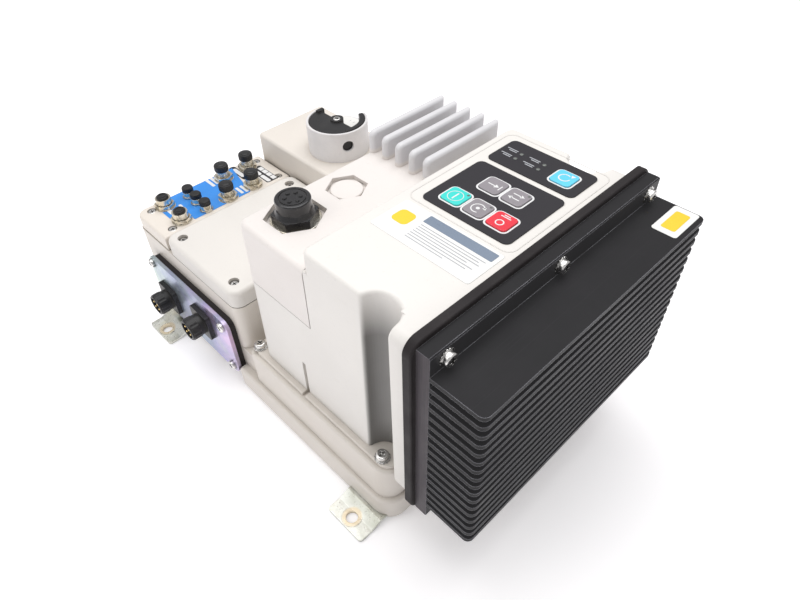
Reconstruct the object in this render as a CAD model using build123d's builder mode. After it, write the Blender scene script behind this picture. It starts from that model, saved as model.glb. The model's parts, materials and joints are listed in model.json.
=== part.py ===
from build123d import *

import math
import os

os.makedirs("parts", exist_ok=True)

# A wall or machine mounted variable frequency drive, lying on its mounting face.
# +Z leaves the mounting face, +X runs towards the heat sink, and the origin is the
# centre of the foot hole pattern on the mounting face. All sizes are in millimetres.

# ---------------------------------------------------------------- driving dimensions
FOOT_PITCH_X = 266.0
FOOT_PITCH_Y = 252.0
FOOT_HOLE_R = 4.5
FOOT_WIDTH = 36.0
FOOT_THICK = 2.5
FOOT_END_Y = 134.1
FOOT_LIFT = 3.5

WALL = 3.5
FIT = 0.05

BASE_X0 = -174.0
BASE_X1 = 153.3
BASE_NEAR_Y = -104.0
BASE_FAR_Y = 107.5
BASE_BOTTOM_Z = 3.0
BASE_FLOOR_Z = 9.0
RIM_X1 = 157.0
RIM_Y = 111.2
RIM_TOP_Z = 24.3
LEDGE_X0 = -8.0
LEDGE_Z = 57.9
TERMINAL_X1 = -18.0
SEAM_Z = 92.6
GASKET_THICK = 0.8
DIVIDER_X = -121.0

BOX_X0 = -168.0
BOX_Y0 = 30.0
BOX_TOP_Z = 132.0
SHAFT_X = -92.4
SHAFT_Y = 68.4
SHAFT_R = 4.0
GUARD_R = 27.6
GUARD_TOP_Z = 160.0

SIGNAL_BOARD_Z = 93.0
LID_TOP_Z = 109.0
PANEL_TOP_Z = 106.0

TRAY_THICK = 3.0
COVER_X0 = 3.0
COVER_X1 = 170.0
COVER_Y = 99.4
COVER_TOP_Z = 206.2
COVER_DRAFT = 1.0
COVER_WALL = 3.0
COVER_Z0 = LEDGE_Z + TRAY_THICK
PARTING_Z = 140.0
HEAD_TOP_Z = 190.0
STEP_X = 75.4
RIB_COUNT = 5
RIB_PITCH = 13.6
RIB_WIDTH = 6.2
RIB_X0 = 4.9
RIB_Y0 = 20.0
RIB_Y1 = 96.6
RIB_TOP_Z = 207.0

FLANGE_X0 = 155.8
FLANGE_X1 = 172.5
FLANGE_Y = 109.6
COVER_FLANGE_Y = 104.4
FLANGE_Z0 = 54.8

SINK_X0 = 178.3
SINK_PLATE = 9.3
SINK_X1 = 222.7
SINK_Y = 105.8
SINK_Z0 = 54.7
SINK_Z1 = 210.6
FIN_COUNT = 17
FIN_THICK = 3.0
FIN_Z0 = 68.0
FIN_Z1 = 197.0

KEY_SIZE = 15.4
KEY_TRAVEL = 0.6
OVERLAY_THICK = 0.6
KEY_PROUD = 1.0

M5_R = 2.5
M4_R = 2.0
M5_HEAD_R = 4.4
M4_HEAD_R = 3.6

# ---------------------------------------------------------------- positions
FEET = [(sx, sy) for sx in (-1, 1) for sy in (-1, 1)]
FOOT_SCREWS = [(sx * FOOT_PITCH_X / 2 + dx, sy * 97.0) for sx, sy in FEET for dx in (-10.0, 10.0)]

LID_SCREWS = [(x, y) for x in (-107.5, -31.5) for y in (-93.3, 18.0)]
PANEL_SCREWS = [(x, y) for x in (-165.0, -129.0) for y in (-91.5, 20.5)]
GLAND_SCREWS = [(x, z) for x in (-147.0, -35.0) for z in (22.0, 69.0)]
MODULE_SCREWS = [(x, y) for x in (-2.0, 139.9) for y in (-98.9, 98.9)]
SINK_SCREWS = [(y, z) for y in (-94.0, 0.0, 94.0) for z in (63.0, 203.5)]

LOW_SOCKETS = [(-162.5, -79.5), (-133.5, -79.5)]
TALL_SOCKETS = [(-162.5, -18.0), (-133.0, -32.0), (-162.5, 9.0), (-133.0, -5.0)]
SERVICE_SOCKETS = [(-160.5, -56.0), (-146.5, -56.0), (-131.5, -56.0)]
POWER_INLETS = [(-128.0, 39.5), (-68.0, 52.0)]

MOTOR_CENTRE = (28.0, -65.7)
BLANK_CENTRE = (28.6, -21.7)

KEYS = {
    "hand_button": (105.5, 3.9),
    "auto_button": (123.8, 3.9),
    "off_button": (142.1, 3.9),
    "jog_button": (115.2, 29.0),
    "direction_button": (133.4, 29.0),
    "reset_button": (142.4, 67.2),
}
STATUS_LEDS = [(104.7, 71.5), (104.7, 64.5), (123.6, 71.5), (123.6, 64.5)]
LOWER_OVERLAY = (89.0, 158.4, -11.2, 47.5)
UPPER_OVERLAY = (89.0, 158.4, 52.4, 83.8)
BOARD_POSTS = [(x, y) for x in (94.0, 156.0) for y in (-5.0, 77.0)]


# ---------------------------------------------------------------- shared shapes
def slab(x0, x1, y0, y1, z0, z1, radius=0.0, mode=Mode.ADD):
    """A block between two corners, its four upright edges rounded when a radius is given."""
    with BuildSketch(Plane.XY.offset(z0)) as outline:
        with Locations(((x0 + x1) / 2, (y0 + y1) / 2)):
            if radius > 0:
                RectangleRounded(x1 - x0, y1 - y0, radius)
            else:
                Rectangle(x1 - x0, y1 - y0)
    return extrude(outline.sketch, amount=z1 - z0, mode=mode)


def post(x, y, z0, z1, radius, mode=Mode.ADD):
    """An upright round post, or a hole when the mode is subtract."""
    with BuildSketch(Plane.XY.offset(z0)) as circle:
        with Locations((x, y)):
            Circle(radius)
    return extrude(circle.sketch, amount=z1 - z0, mode=mode)


def post_y(x, z, y0, y1, radius, mode=Mode.ADD):
    """A round post lying along Y, from y0 to y1."""
    with BuildSketch(Plane((0, y0, 0), x_dir=(1, 0, 0), z_dir=(0, 1, 0))) as circle:
        with Locations((x, -z)):
            Circle(radius)
    return extrude(circle.sketch, amount=y1 - y0, mode=mode)


def post_x(y, z, x0, x1, radius, mode=Mode.ADD):
    """A round post lying along X, from x0 to x1."""
    with BuildSketch(Plane.YZ.offset(x0)) as circle:
        with Locations((y, z)):
            Circle(radius)
    return extrude(circle.sketch, amount=x1 - x0, mode=mode)


def hexagon(x, y, z0, z1, corner_r, mode=Mode.ADD):
    """An upright hexagonal prism with two corners on the X direction."""
    with BuildSketch(Plane.XY.offset(z0)) as outline:
        with Locations((x, y)):
            RegularPolygon(corner_r, 6)
    return extrude(outline.sketch, amount=z1 - z0, mode=mode)


def plate_y(x0, x1, z0, z1, y0, y1, radius=0.0, mode=Mode.ADD):
    """A plate standing in the XZ plane between y0 and y1."""
    with BuildSketch(Plane((0, y0, 0), x_dir=(1, 0, 0), z_dir=(0, 1, 0))) as outline:
        with Locations(((x0 + x1) / 2, -(z0 + z1) / 2)):
            if radius > 0:
                RectangleRounded(x1 - x0, z1 - z0, radius)
            else:
                Rectangle(x1 - x0, z1 - z0)
    return extrude(outline.sketch, amount=y1 - y0, mode=mode)


def plate_x(y0, y1, z0, z1, x0, x1, radius=0.0, mode=Mode.ADD):
    """A plate standing in the YZ plane between x0 and x1."""
    with BuildSketch(Plane.YZ.offset(x0)) as outline:
        with Locations(((y0 + y1) / 2, (z0 + z1) / 2)):
            if radius > 0:
                RectangleRounded(y1 - y0, z1 - z0, radius)
            else:
                Rectangle(y1 - y0, z1 - z0)
    return extrude(outline.sketch, amount=x1 - x0, mode=mode)


def cross_slot(x, y, z0, z1, length, width):
    """A cross recess cut into an upright screw head."""
    slab(x - length / 2, x + length / 2, y - width / 2, y + width / 2, z0, z1, mode=Mode.SUBTRACT)
    slab(x - width / 2, x + width / 2, y - length / 2, y + length / 2, z0, z1, mode=Mode.SUBTRACT)


def control_envelope(inset, top_z):
    """The drafted outer block of the control module, or its cavity when inset."""
    with BuildSketch(Plane.XY.offset(COVER_Z0)) as outline:
        with Locations(((COVER_X0 + COVER_X1) / 2, 0)):
            RectangleRounded(COVER_X1 - COVER_X0 - 2 * inset, 2 * (COVER_Y - inset), 10.0 - inset)
    return extrude(outline.sketch, amount=top_z - COVER_Z0, taper=COVER_DRAFT)


# ================================================================ base
with BuildPart() as base_rim:
    # the rim stands proud of the walls; it stops short of the conduit entry
    slab(-26.0, RIM_X1, -RIM_Y, RIM_Y, BASE_BOTTOM_Z, RIM_TOP_Z)
    fillet(base_rim.edges().filter_by(Axis.Z).group_by(Axis.X)[-1], 16.0)
    fillet(base_rim.faces().sort_by(Axis.Z)[-1].edges(), 2.2)

with BuildPart() as ledge_block:
    # the part of the tub that carries the control module
    slab(LEDGE_X0, BASE_X1, -BASE_FAR_Y, BASE_FAR_Y, BASE_BOTTOM_Z, LEDGE_Z)
    fillet(ledge_block.edges().filter_by(Axis.Z).group_by(Axis.X)[-1], 13.0)
    fillet(ledge_block.edges().filter_by(Axis.Z).group_by(Axis.X)[0], 6.0)
    fillet(ledge_block.faces().sort_by(Axis.Z)[-1].edges(), 2.0)

with BuildPart() as disconnect_box:
    slab(BOX_X0, TERMINAL_X1, BOX_Y0, BASE_FAR_Y, SEAM_Z - 6.0, BOX_TOP_Z, 4.0)
    fillet(disconnect_box.faces().sort_by(Axis.Z)[-1].edges(), 3.0)

with BuildPart() as base_housing:
    add(base_rim.part)
    add(ledge_block.part)
    slab(-150.0, 10.0, BASE_NEAR_Y, BASE_FAR_Y, BASE_BOTTOM_Z, 46.0)
    slab(BASE_X0, TERMINAL_X1, BASE_NEAR_Y, BASE_FAR_Y, BASE_BOTTOM_Z, SEAM_Z, 9.0)
    add(disconnect_box.part)
    # hollows
    inner_x0 = BASE_X0 + WALL
    inner_x1 = TERMINAL_X1 - WALL
    roof_z = BOX_TOP_Z - WALL
    slab(inner_x0, inner_x1, BASE_NEAR_Y + WALL, BASE_FAR_Y - WALL, BASE_FLOOR_Z, SEAM_Z - 6.0,
         3.0, Mode.SUBTRACT)
    slab(inner_x0, inner_x1, BASE_NEAR_Y + WALL, BOX_Y0 - WALL, SEAM_Z - 6.0, SEAM_Z, 3.0, Mode.SUBTRACT)
    slab(BOX_X0 + WALL, inner_x1, BOX_Y0 + WALL, BASE_FAR_Y - WALL, SEAM_Z - 6.0, roof_z,
         3.0, Mode.SUBTRACT)
    slab(LEDGE_X0 + 4.0, BASE_X1 - WALL, -103.5, 103.5, BASE_FLOOR_Z, 51.9, 9.0, Mode.SUBTRACT)
    slab(12.0, 132.0, -86.0, 86.0, 51.9, LEDGE_Z, 6.0, Mode.SUBTRACT)
    slab(inner_x1 - 1.0, LEDGE_X0 + 5.0, -60.0, 60.0, BASE_FLOOR_Z, 40.0, mode=Mode.SUBTRACT)
    # the beam between the two covers, and the screw posts
    slab(DIVIDER_X - 3.0, DIVIDER_X + 3.0, BASE_NEAR_Y + 1.0, BOX_Y0 - 1.0, SEAM_Z - 14.0, SEAM_Z)
    for x, y in LID_SCREWS:
        post(x, y, BASE_FLOOR_Z - 1.0, SEAM_Z, 5.4)
    for x, y in PANEL_SCREWS:
        post(x, y, SEAM_Z - 16.0, SEAM_Z, 6.4)
    for x, y in FOOT_SCREWS:
        post(x, y, BASE_FLOOR_Z - 1.0, 18.0, 5.4)
    for x, y in MODULE_SCREWS:
        post(x, y, 30.0, 53.0, 5.6)
    for x, z in GLAND_SCREWS:
        post_y(x, z, BASE_NEAR_Y + 1.0, BASE_NEAR_Y + 11.0, 5.4)
    # screw holes
    for x, y in LID_SCREWS:
        post(x, y, SEAM_Z - 14.0, SEAM_Z, M4_R, Mode.SUBTRACT)
    for x, y in PANEL_SCREWS:
        post(x, y, SEAM_Z - 12.0, SEAM_Z, M4_R, Mode.SUBTRACT)
    for x, y in FOOT_SCREWS:
        post(x, y, BASE_BOTTOM_Z, 15.5, M5_R, Mode.SUBTRACT)
    for x, y in MODULE_SCREWS:
        post(x, y, 36.0, LEDGE_Z, M5_R, Mode.SUBTRACT)
    for x, z in GLAND_SCREWS:
        post_y(x, z, BASE_NEAR_Y, BASE_NEAR_Y + 9.5, M5_R, Mode.SUBTRACT)
    # conduit entry opening, foot pockets and the disconnect shaft hole
    plate_y(-138.0, -44.0, 24.0, 68.0, BASE_NEAR_Y, BASE_NEAR_Y + WALL, 4.0, Mode.SUBTRACT)
    for sx, sy in FEET:
        centre = sx * FOOT_PITCH_X / 2
        pocket = sorted((sy * 86.0, sy * 120.0))
        slab(centre - FOOT_WIDTH / 2 - 0.2, centre + FOOT_WIDTH / 2 + 0.2, pocket[0], pocket[1],
             BASE_BOTTOM_Z, BASE_BOTTOM_Z + 3.0, mode=Mode.SUBTRACT)
    post(SHAFT_X, SHAFT_Y, roof_z, BOX_TOP_Z, 7.0, Mode.SUBTRACT)
    for dx in (-18.0, 18.0):
        post(SHAFT_X + dx, SHAFT_Y, roof_z, BOX_TOP_Z, 2.0, Mode.SUBTRACT)
    # shallow cored fields in the underside
    for x0, x1 in ((-104.0, -34.0), (-26.0, 44.0), (52.0, 104.0)):
        for y0, y1 in ((-78.0, -4.0), (4.0, 78.0)):
            slab(x0, x1, y0, y1, BASE_BOTTOM_Z, BASE_BOTTOM_Z + 1.6, 6.0, Mode.SUBTRACT)
base_housing.part.label = "base_housing"
export_step(base_housing.part, "parts/base_housing.step")

# ---------------------------------------------------------------- feet
with BuildPart() as mounting_feet:
    # a joggled strip: the pad lies on the mounting face, the tab lies in the base pocket
    pad_y = 122.0
    tab_y = 113.5
    end_y = 87.0
    for sx, sy in FEET:
        centre = sx * FOOT_PITCH_X / 2
        with BuildSketch(Plane.YZ.offset(centre - FOOT_WIDTH / 2)) as strip:
            with BuildLine():
                Polyline(
                    (sy * FOOT_END_Y, 0.0),
                    (sy * pad_y, 0.0),
                    (sy * tab_y, FOOT_LIFT),
                    (sy * end_y, FOOT_LIFT),
                    (sy * end_y, FOOT_LIFT + FOOT_THICK),
                    (sy * (tab_y + 0.6), FOOT_LIFT + FOOT_THICK),
                    (sy * (pad_y + 0.6), FOOT_THICK),
                    (sy * FOOT_END_Y, FOOT_THICK),
                    close=True,
                )
            make_face()
        extrude(strip.sketch, amount=FOOT_WIDTH)
    outer_corners = mounting_feet.edges().filter_by(Axis.Z).filter_by(
        lambda edge: abs(edge.center().Y) > FOOT_END_Y - 0.1
    )
    fillet(outer_corners, 2.5)
    for sx, sy in FEET:
        x = sx * FOOT_PITCH_X / 2
        y = sy * FOOT_PITCH_Y / 2
        post(x, y, FOOT_THICK, FOOT_THICK + 0.3, 7.5)
        post(x, y, 0.0, FOOT_THICK + 0.3, FOOT_HOLE_R, Mode.SUBTRACT)
    for x, y in FOOT_SCREWS:
        post(x, y, FOOT_LIFT, FOOT_LIFT + FOOT_THICK, M5_R, Mode.SUBTRACT)
mounting_feet.part.label = "mounting_feet"
export_step(mounting_feet.part, "parts/mounting_feet.step")

with BuildPart() as foot_screws:
    for x, y in FOOT_SCREWS:
        post(x, y, FOOT_LIFT - 2.4, FOOT_LIFT, M5_HEAD_R)
        post(x, y, FOOT_LIFT, 14.0, M5_R - FIT)
    fillet(foot_screws.faces().group_by(Axis.Z)[0].edges(), 1.2)
    for x, y in FOOT_SCREWS:
        cross_slot(x, y, FOOT_LIFT - 2.4, FOOT_LIFT - 1.0, 4.6, 1.1)
foot_screws.part.label = "foot_screws"
export_step(foot_screws.part, "parts/foot_screws.step")

# ---------------------------------------------------------------- terminal lid
lid_x0 = DIVIDER_X + 0.5
lid_y1 = BOX_Y0 - 0.8
lid_z0 = SEAM_Z + GASKET_THICK
with BuildPart() as terminal_lid:
    slab(lid_x0, TERMINAL_X1, BASE_NEAR_Y, lid_y1, lid_z0, LID_TOP_Z, 9.0)
    fillet(terminal_lid.faces().sort_by(Axis.Z)[-1].edges(), 4.0)
    slab(lid_x0 + WALL, TERMINAL_X1 - WALL, BASE_NEAR_Y + WALL, lid_y1 - WALL, lid_z0,
         LID_TOP_Z - WALL, 5.0, Mode.SUBTRACT)
    for x, y in LID_SCREWS:
        post(x, y, lid_z0, LID_TOP_Z - 2.0, 7.4)
        post(x, y, LID_TOP_Z - 5.0, LID_TOP_Z, 4.3, Mode.SUBTRACT)
        post(x, y, lid_z0, LID_TOP_Z, M4_R, Mode.SUBTRACT)
terminal_lid.part.label = "terminal_lid"
export_step(terminal_lid.part, "parts/terminal_lid.step")

with BuildPart() as terminal_lid_gasket:
    slab(lid_x0 + 0.3, TERMINAL_X1 - 0.6, BASE_NEAR_Y + 0.6, lid_y1 - 0.4, SEAM_Z, lid_z0, 8.4)
    slab(lid_x0 + 2.6, TERMINAL_X1 - WALL + 0.4, BASE_NEAR_Y + WALL - 0.4, lid_y1 - 2.7, SEAM_Z, lid_z0,
         5.4, Mode.SUBTRACT)
terminal_lid_gasket.part.label = "terminal_lid_gasket"
export_step(terminal_lid_gasket.part, "parts/terminal_lid_gasket.step")

with BuildPart() as terminal_lid_screws:
    for x, y in LID_SCREWS:
        post(x, y, LID_TOP_Z - 5.0, LID_TOP_Z - 2.2, M4_HEAD_R)
        post(x, y, SEAM_Z - 13.0, LID_TOP_Z - 5.0, M4_R - FIT)
    fillet(terminal_lid_screws.faces().group_by(Axis.Z)[-1].edges(), 1.0)
    for x, y in LID_SCREWS:
        cross_slot(x, y, LID_TOP_Z - 3.6, LID_TOP_Z - 2.2, 3.8, 1.0)
terminal_lid_screws.part.label = "terminal_lid_screws"
export_step(terminal_lid_screws.part, "parts/terminal_lid_screws.step")

# ---------------------------------------------------------------- input and output panel
panel_x1 = DIVIDER_X - 0.5
panel_z0 = SEAM_Z + GASKET_THICK
panel_y0 = BASE_NEAR_Y + 0.8
with BuildPart() as io_cover:
    slab(BASE_X0, panel_x1, panel_y0, lid_y1, panel_z0, PANEL_TOP_Z)
    uprights = io_cover.edges().filter_by(Axis.Z)
    near_left = uprights.group_by(Axis.X)[0].sort_by(Axis.Y)[0]
    fillet(near_left, 9.0)
    fillet([edge for edge in io_cover.edges().filter_by(Axis.Z) if edge.center().Y > panel_y0 + 20.0], 3.0)
    fillet(io_cover.faces().sort_by(Axis.Z)[-1].edges(), 2.4)
    slab(BASE_X0 + WALL, panel_x1 - WALL, panel_y0 + WALL, lid_y1 - WALL, panel_z0,
         PANEL_TOP_Z - WALL, 2.0, Mode.SUBTRACT)
    for x, y in PANEL_SCREWS:
        post(x, y, panel_z0, PANEL_TOP_Z - 1.0, 5.0)
        post(x, y, PANEL_TOP_Z - 2.6, PANEL_TOP_Z, 4.0, Mode.SUBTRACT)
        post(x, y, panel_z0, PANEL_TOP_Z, M4_R, Mode.SUBTRACT)
    for x, y in LOW_SOCKETS + TALL_SOCKETS:
        post(x, y, PANEL_TOP_Z - WALL, PANEL_TOP_Z, 6.0 + FIT, Mode.SUBTRACT)
    for x, y in SERVICE_SOCKETS:
        post(x, y, PANEL_TOP_Z - WALL, PANEL_TOP_Z, 4.0 + FIT, Mode.SUBTRACT)
io_cover.part.label = "io_cover"
export_step(io_cover.part, "parts/io_cover.step")

with BuildPart() as io_cover_gasket:
    slab(BASE_X0 + 0.6, panel_x1 - 0.3, BASE_NEAR_Y + 1.4, lid_y1 - 0.4, SEAM_Z, panel_z0, 8.4)
    slab(BASE_X0 + WALL - 0.4, panel_x1 - 2.6, panel_y0 + WALL - 0.4, lid_y1 - 2.7, SEAM_Z, panel_z0,
         2.4, Mode.SUBTRACT)
io_cover_gasket.part.label = "io_cover_gasket"
export_step(io_cover_gasket.part, "parts/io_cover_gasket.step")

with BuildPart() as io_cover_screws:
    for x, y in PANEL_SCREWS:
        post(x, y, PANEL_TOP_Z - 2.6, PANEL_TOP_Z - 0.4, M4_HEAD_R)
        post(x, y, SEAM_Z - 11.0, PANEL_TOP_Z - 2.6, M4_R - FIT)
    fillet(io_cover_screws.faces().group_by(Axis.Z)[-1].edges(), 0.8)
    for x, y in PANEL_SCREWS:
        cross_slot(x, y, PANEL_TOP_Z - 1.8, PANEL_TOP_Z - 0.4, 3.8, 1.0)
io_cover_screws.part.label = "io_cover_screws"
export_step(io_cover_screws.part, "parts/io_cover_screws.step")

with BuildPart() as io_label:
    label_z1 = PANEL_TOP_Z + 0.3
    slab(-171.5, -126.5, -71.0, 1.0, PANEL_TOP_Z, label_z1, 1.5)
    slab(-158.5, -142.0, -86.0, -69.0, PANEL_TOP_Z, label_z1, 1.5)
    # the far end is cut on a slant
    with BuildSketch(Plane.XY.offset(PANEL_TOP_Z)) as slant:
        with BuildLine():
            Polyline((-180.0, -1.1), (-120.0, -14.3), (-120.0, 30.0), (-180.0, 30.0), close=True)
        make_face()
    extrude(slant.sketch, amount=label_z1 - PANEL_TOP_Z, mode=Mode.SUBTRACT)
    for x, y in LOW_SOCKETS + TALL_SOCKETS:
        post(x, y, PANEL_TOP_Z, label_z1, 9.2, Mode.SUBTRACT)
    for x, y in SERVICE_SOCKETS:
        post(x, y, PANEL_TOP_Z, label_z1, 6.0, Mode.SUBTRACT)
io_label.part.label = "io_label"
export_step(io_label.part, "parts/io_label.step")

nut_z1 = PANEL_TOP_Z + 4.2
COLLAR_TOP_Z = 115.6
with BuildPart() as sensor_sockets:
    for x, y in LOW_SOCKETS + TALL_SOCKETS:
        post(x, y, SIGNAL_BOARD_Z, COLLAR_TOP_Z - 0.4, 6.0)
        post(x, y, PANEL_TOP_Z - WALL - 3.0, PANEL_TOP_Z - WALL, 6.7)
    for x, y in LOW_SOCKETS:
        post(x, y, nut_z1 + 0.5, COLLAR_TOP_Z, 6.8)
    for x, y in TALL_SOCKETS:
        post(x, y, COLLAR_TOP_Z - 0.4, 119.5, 5.2)
        for turn in range(5):
            with BuildSketch(Plane.XY.offset(nut_z1 + 0.5 + turn * 0.8)) as groove:
                with Locations((x, y)):
                    Circle(6.2)
                    Circle(5.65, mode=Mode.SUBTRACT)
            extrude(groove.sketch, amount=0.3, mode=Mode.SUBTRACT)
    for x, y in LOW_SOCKETS + TALL_SOCKETS:
        post(x, y, 99.0, 120.0, 4.4, Mode.SUBTRACT)
sensor_sockets.part.label = "sensor_sockets"
export_step(sensor_sockets.part, "parts/sensor_sockets.step")

with BuildPart() as socket_nuts:
    for x, y in LOW_SOCKETS + TALL_SOCKETS:
        post(x, y, PANEL_TOP_Z, PANEL_TOP_Z + 0.9, 8.6)
        hexagon(x, y, PANEL_TOP_Z + 0.9, nut_z1, 8.8)
        post(x, y, PANEL_TOP_Z, nut_z1, 6.0 + FIT, Mode.SUBTRACT)
socket_nuts.part.label = "socket_nuts"
export_step(socket_nuts.part, "parts/socket_nuts.step")

with BuildPart() as socket_caps:
    for x, y in LOW_SOCKETS:
        post(x, y, COLLAR_TOP_Z, COLLAR_TOP_Z + 1.9, 5.0)
        post(x, y, COLLAR_TOP_Z - 2.0, COLLAR_TOP_Z, 4.4 - FIT)
    for x, y in TALL_SOCKETS:
        post(x, y, COLLAR_TOP_Z - 0.2, 121.4, 6.3)
        post(x, y, COLLAR_TOP_Z - 0.2, 119.5, 5.2 + FIT, Mode.SUBTRACT)
    cap_rims = socket_caps.edges().filter_by(GeomType.CIRCLE)
    fillet([edge for edge in cap_rims if edge.center().Z > 121.0 or 117.3 < edge.center().Z < 118.0], 0.7)
socket_caps.part.label = "socket_caps"
export_step(socket_caps.part, "parts/socket_caps.step")

with BuildPart() as service_sockets:
    for x, y in SERVICE_SOCKETS:
        post(x, y, SIGNAL_BOARD_Z, PANEL_TOP_Z + 7.2, 4.0)
        post(x, y, PANEL_TOP_Z, PANEL_TOP_Z + 1.6, 5.7)
        post(x, y, PANEL_TOP_Z + 1.6, PANEL_TOP_Z + 6.0, 5.0)
service_sockets.part.label = "service_sockets"
export_step(service_sockets.part, "parts/service_sockets.step")

with BuildPart() as service_socket_caps:
    for x, y in SERVICE_SOCKETS:
        post(x, y, PANEL_TOP_Z + 6.0, PANEL_TOP_Z + 10.6, 4.7)
        post(x, y, PANEL_TOP_Z + 6.0, PANEL_TOP_Z + 7.2, 4.0 + FIT, Mode.SUBTRACT)
    fillet(service_socket_caps.faces().group_by(Axis.Z)[-1].edges(), 0.8)
service_socket_caps.part.label = "service_socket_caps"
export_step(service_socket_caps.part, "parts/service_socket_caps.step")

# ---------------------------------------------------------------- conduit entry plate
PLATE_X0 = -153.0
PLATE_X1 = -27.0
PLATE_Z0 = 15.0
PLATE_Z1 = 76.0
GLAND_GASKET_Y = BASE_NEAR_Y - 5.0
PLATE_Y = GLAND_GASKET_Y - 3.2
with BuildPart() as gland_gasket:
    plate_y(PLATE_X0 + 1.2, PLATE_X1 - 1.2, PLATE_Z0 + 1.2, PLATE_Z1 - 1.2, GLAND_GASKET_Y, BASE_NEAR_Y, 7.0)
    plate_y(-138.0, -44.0, 24.0, 68.0, GLAND_GASKET_Y, BASE_NEAR_Y, 4.0, Mode.SUBTRACT)
    for x, z in GLAND_SCREWS:
        post_y(x, z, GLAND_GASKET_Y, BASE_NEAR_Y, M5_R, Mode.SUBTRACT)
gland_gasket.part.label = "gland_gasket"
export_step(gland_gasket.part, "parts/gland_gasket.step")

with BuildPart() as gland_plate:
    plate_y(PLATE_X0, PLATE_X1, PLATE_Z0, PLATE_Z1, PLATE_Y, GLAND_GASKET_Y, 8.0)
    for x, z in GLAND_SCREWS:
        post_y(x, z, PLATE_Y, GLAND_GASKET_Y, M5_R, Mode.SUBTRACT)
    for x, z in POWER_INLETS:
        post_y(x, z, PLATE_Y, GLAND_GASKET_Y, 8.0 + FIT, Mode.SUBTRACT)
gland_plate.part.label = "gland_plate"
export_step(gland_plate.part, "parts/gland_plate.step")

with BuildPart() as gland_screws:
    for x, z in GLAND_SCREWS:
        post_y(x, z, PLATE_Y - 2.8, PLATE_Y, M5_HEAD_R)
        post_y(x, z, PLATE_Y, BASE_NEAR_Y + 8.5, M5_R - FIT)
    fillet(gland_screws.faces().group_by(Axis.Y)[0].edges(), 1.3)
    for x, z in GLAND_SCREWS:
        plate_y(x - 2.4, x + 2.4, z - 0.6, z + 0.6, PLATE_Y - 2.8, PLATE_Y - 1.2, mode=Mode.SUBTRACT)
        plate_y(x - 0.6, x + 0.6, z - 2.4, z + 2.4, PLATE_Y - 2.8, PLATE_Y - 1.2, mode=Mode.SUBTRACT)
gland_screws.part.label = "gland_screws"
export_step(gland_screws.part, "parts/gland_screws.step")

INLET_TIP_Y = PLATE_Y - 17.0
INLET_SEAT_Y = PLATE_Y - 4.0
with BuildPart() as power_connectors:
    for x, z in POWER_INLETS:
        plate_y(x - 13.0, x + 13.0, z - 13.0, z + 13.0, INLET_SEAT_Y, PLATE_Y, 2.5)
        post_y(x, z, INLET_TIP_Y, INLET_SEAT_Y, 9.6)
        post_y(x, z, PLATE_Y, BASE_NEAR_Y + 12.0, 8.0)
    fillet(power_connectors.faces().group_by(Axis.Y)[0].edges(), 0.9)
    for x, z in POWER_INLETS:
        post_y(x, z, INLET_TIP_Y, INLET_TIP_Y + 2.6, 7.6, Mode.SUBTRACT)
        plate_y(x - 1.2, x + 1.2, z + 7.0, z + 8.6, INLET_TIP_Y, INLET_TIP_Y + 2.6, mode=Mode.SUBTRACT)
    for x, z in POWER_INLETS:
        with BuildSketch(Plane((0, INLET_TIP_Y + 0.5, 0), x_dir=(1, 0, 0), z_dir=(0, 1, 0))) as pin_bores:
            with Locations((x, -z)):
                with PolarLocations(4.2, 4, start_angle=45):
                    Circle(1.0)
        extrude(pin_bores.sketch, amount=14.0, mode=Mode.SUBTRACT)
power_connectors.part.label = "power_connectors"
export_step(power_connectors.part, "parts/power_connectors.step")

with BuildPart() as power_connector_pins:
    for x, z in POWER_INLETS:
        with BuildSketch(Plane((0, INLET_TIP_Y + 1.5, 0), x_dir=(1, 0, 0), z_dir=(0, 1, 0))) as pins:
            with Locations((x, -z)):
                with PolarLocations(4.2, 4, start_angle=45):
                    Circle(1.0 - FIT)
        extrude(pins.sketch, amount=12.5)
power_connector_pins.part.label = "power_connector_pins"
export_step(power_connector_pins.part, "parts/power_connector_pins.step")

# ---------------------------------------------------------------- rotary disconnect
DECK_Z = 149.0


def fan(start, end, reach):
    """Corner points of a fan from the shaft axis, between two angles in degrees."""
    points = [(SHAFT_X, SHAFT_Y)]
    for step in range(5):
        angle = math.radians(start + (end - start) * step / 4)
        points.append((SHAFT_X + reach * math.cos(angle), SHAFT_Y + reach * math.sin(angle)))
    return points


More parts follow.
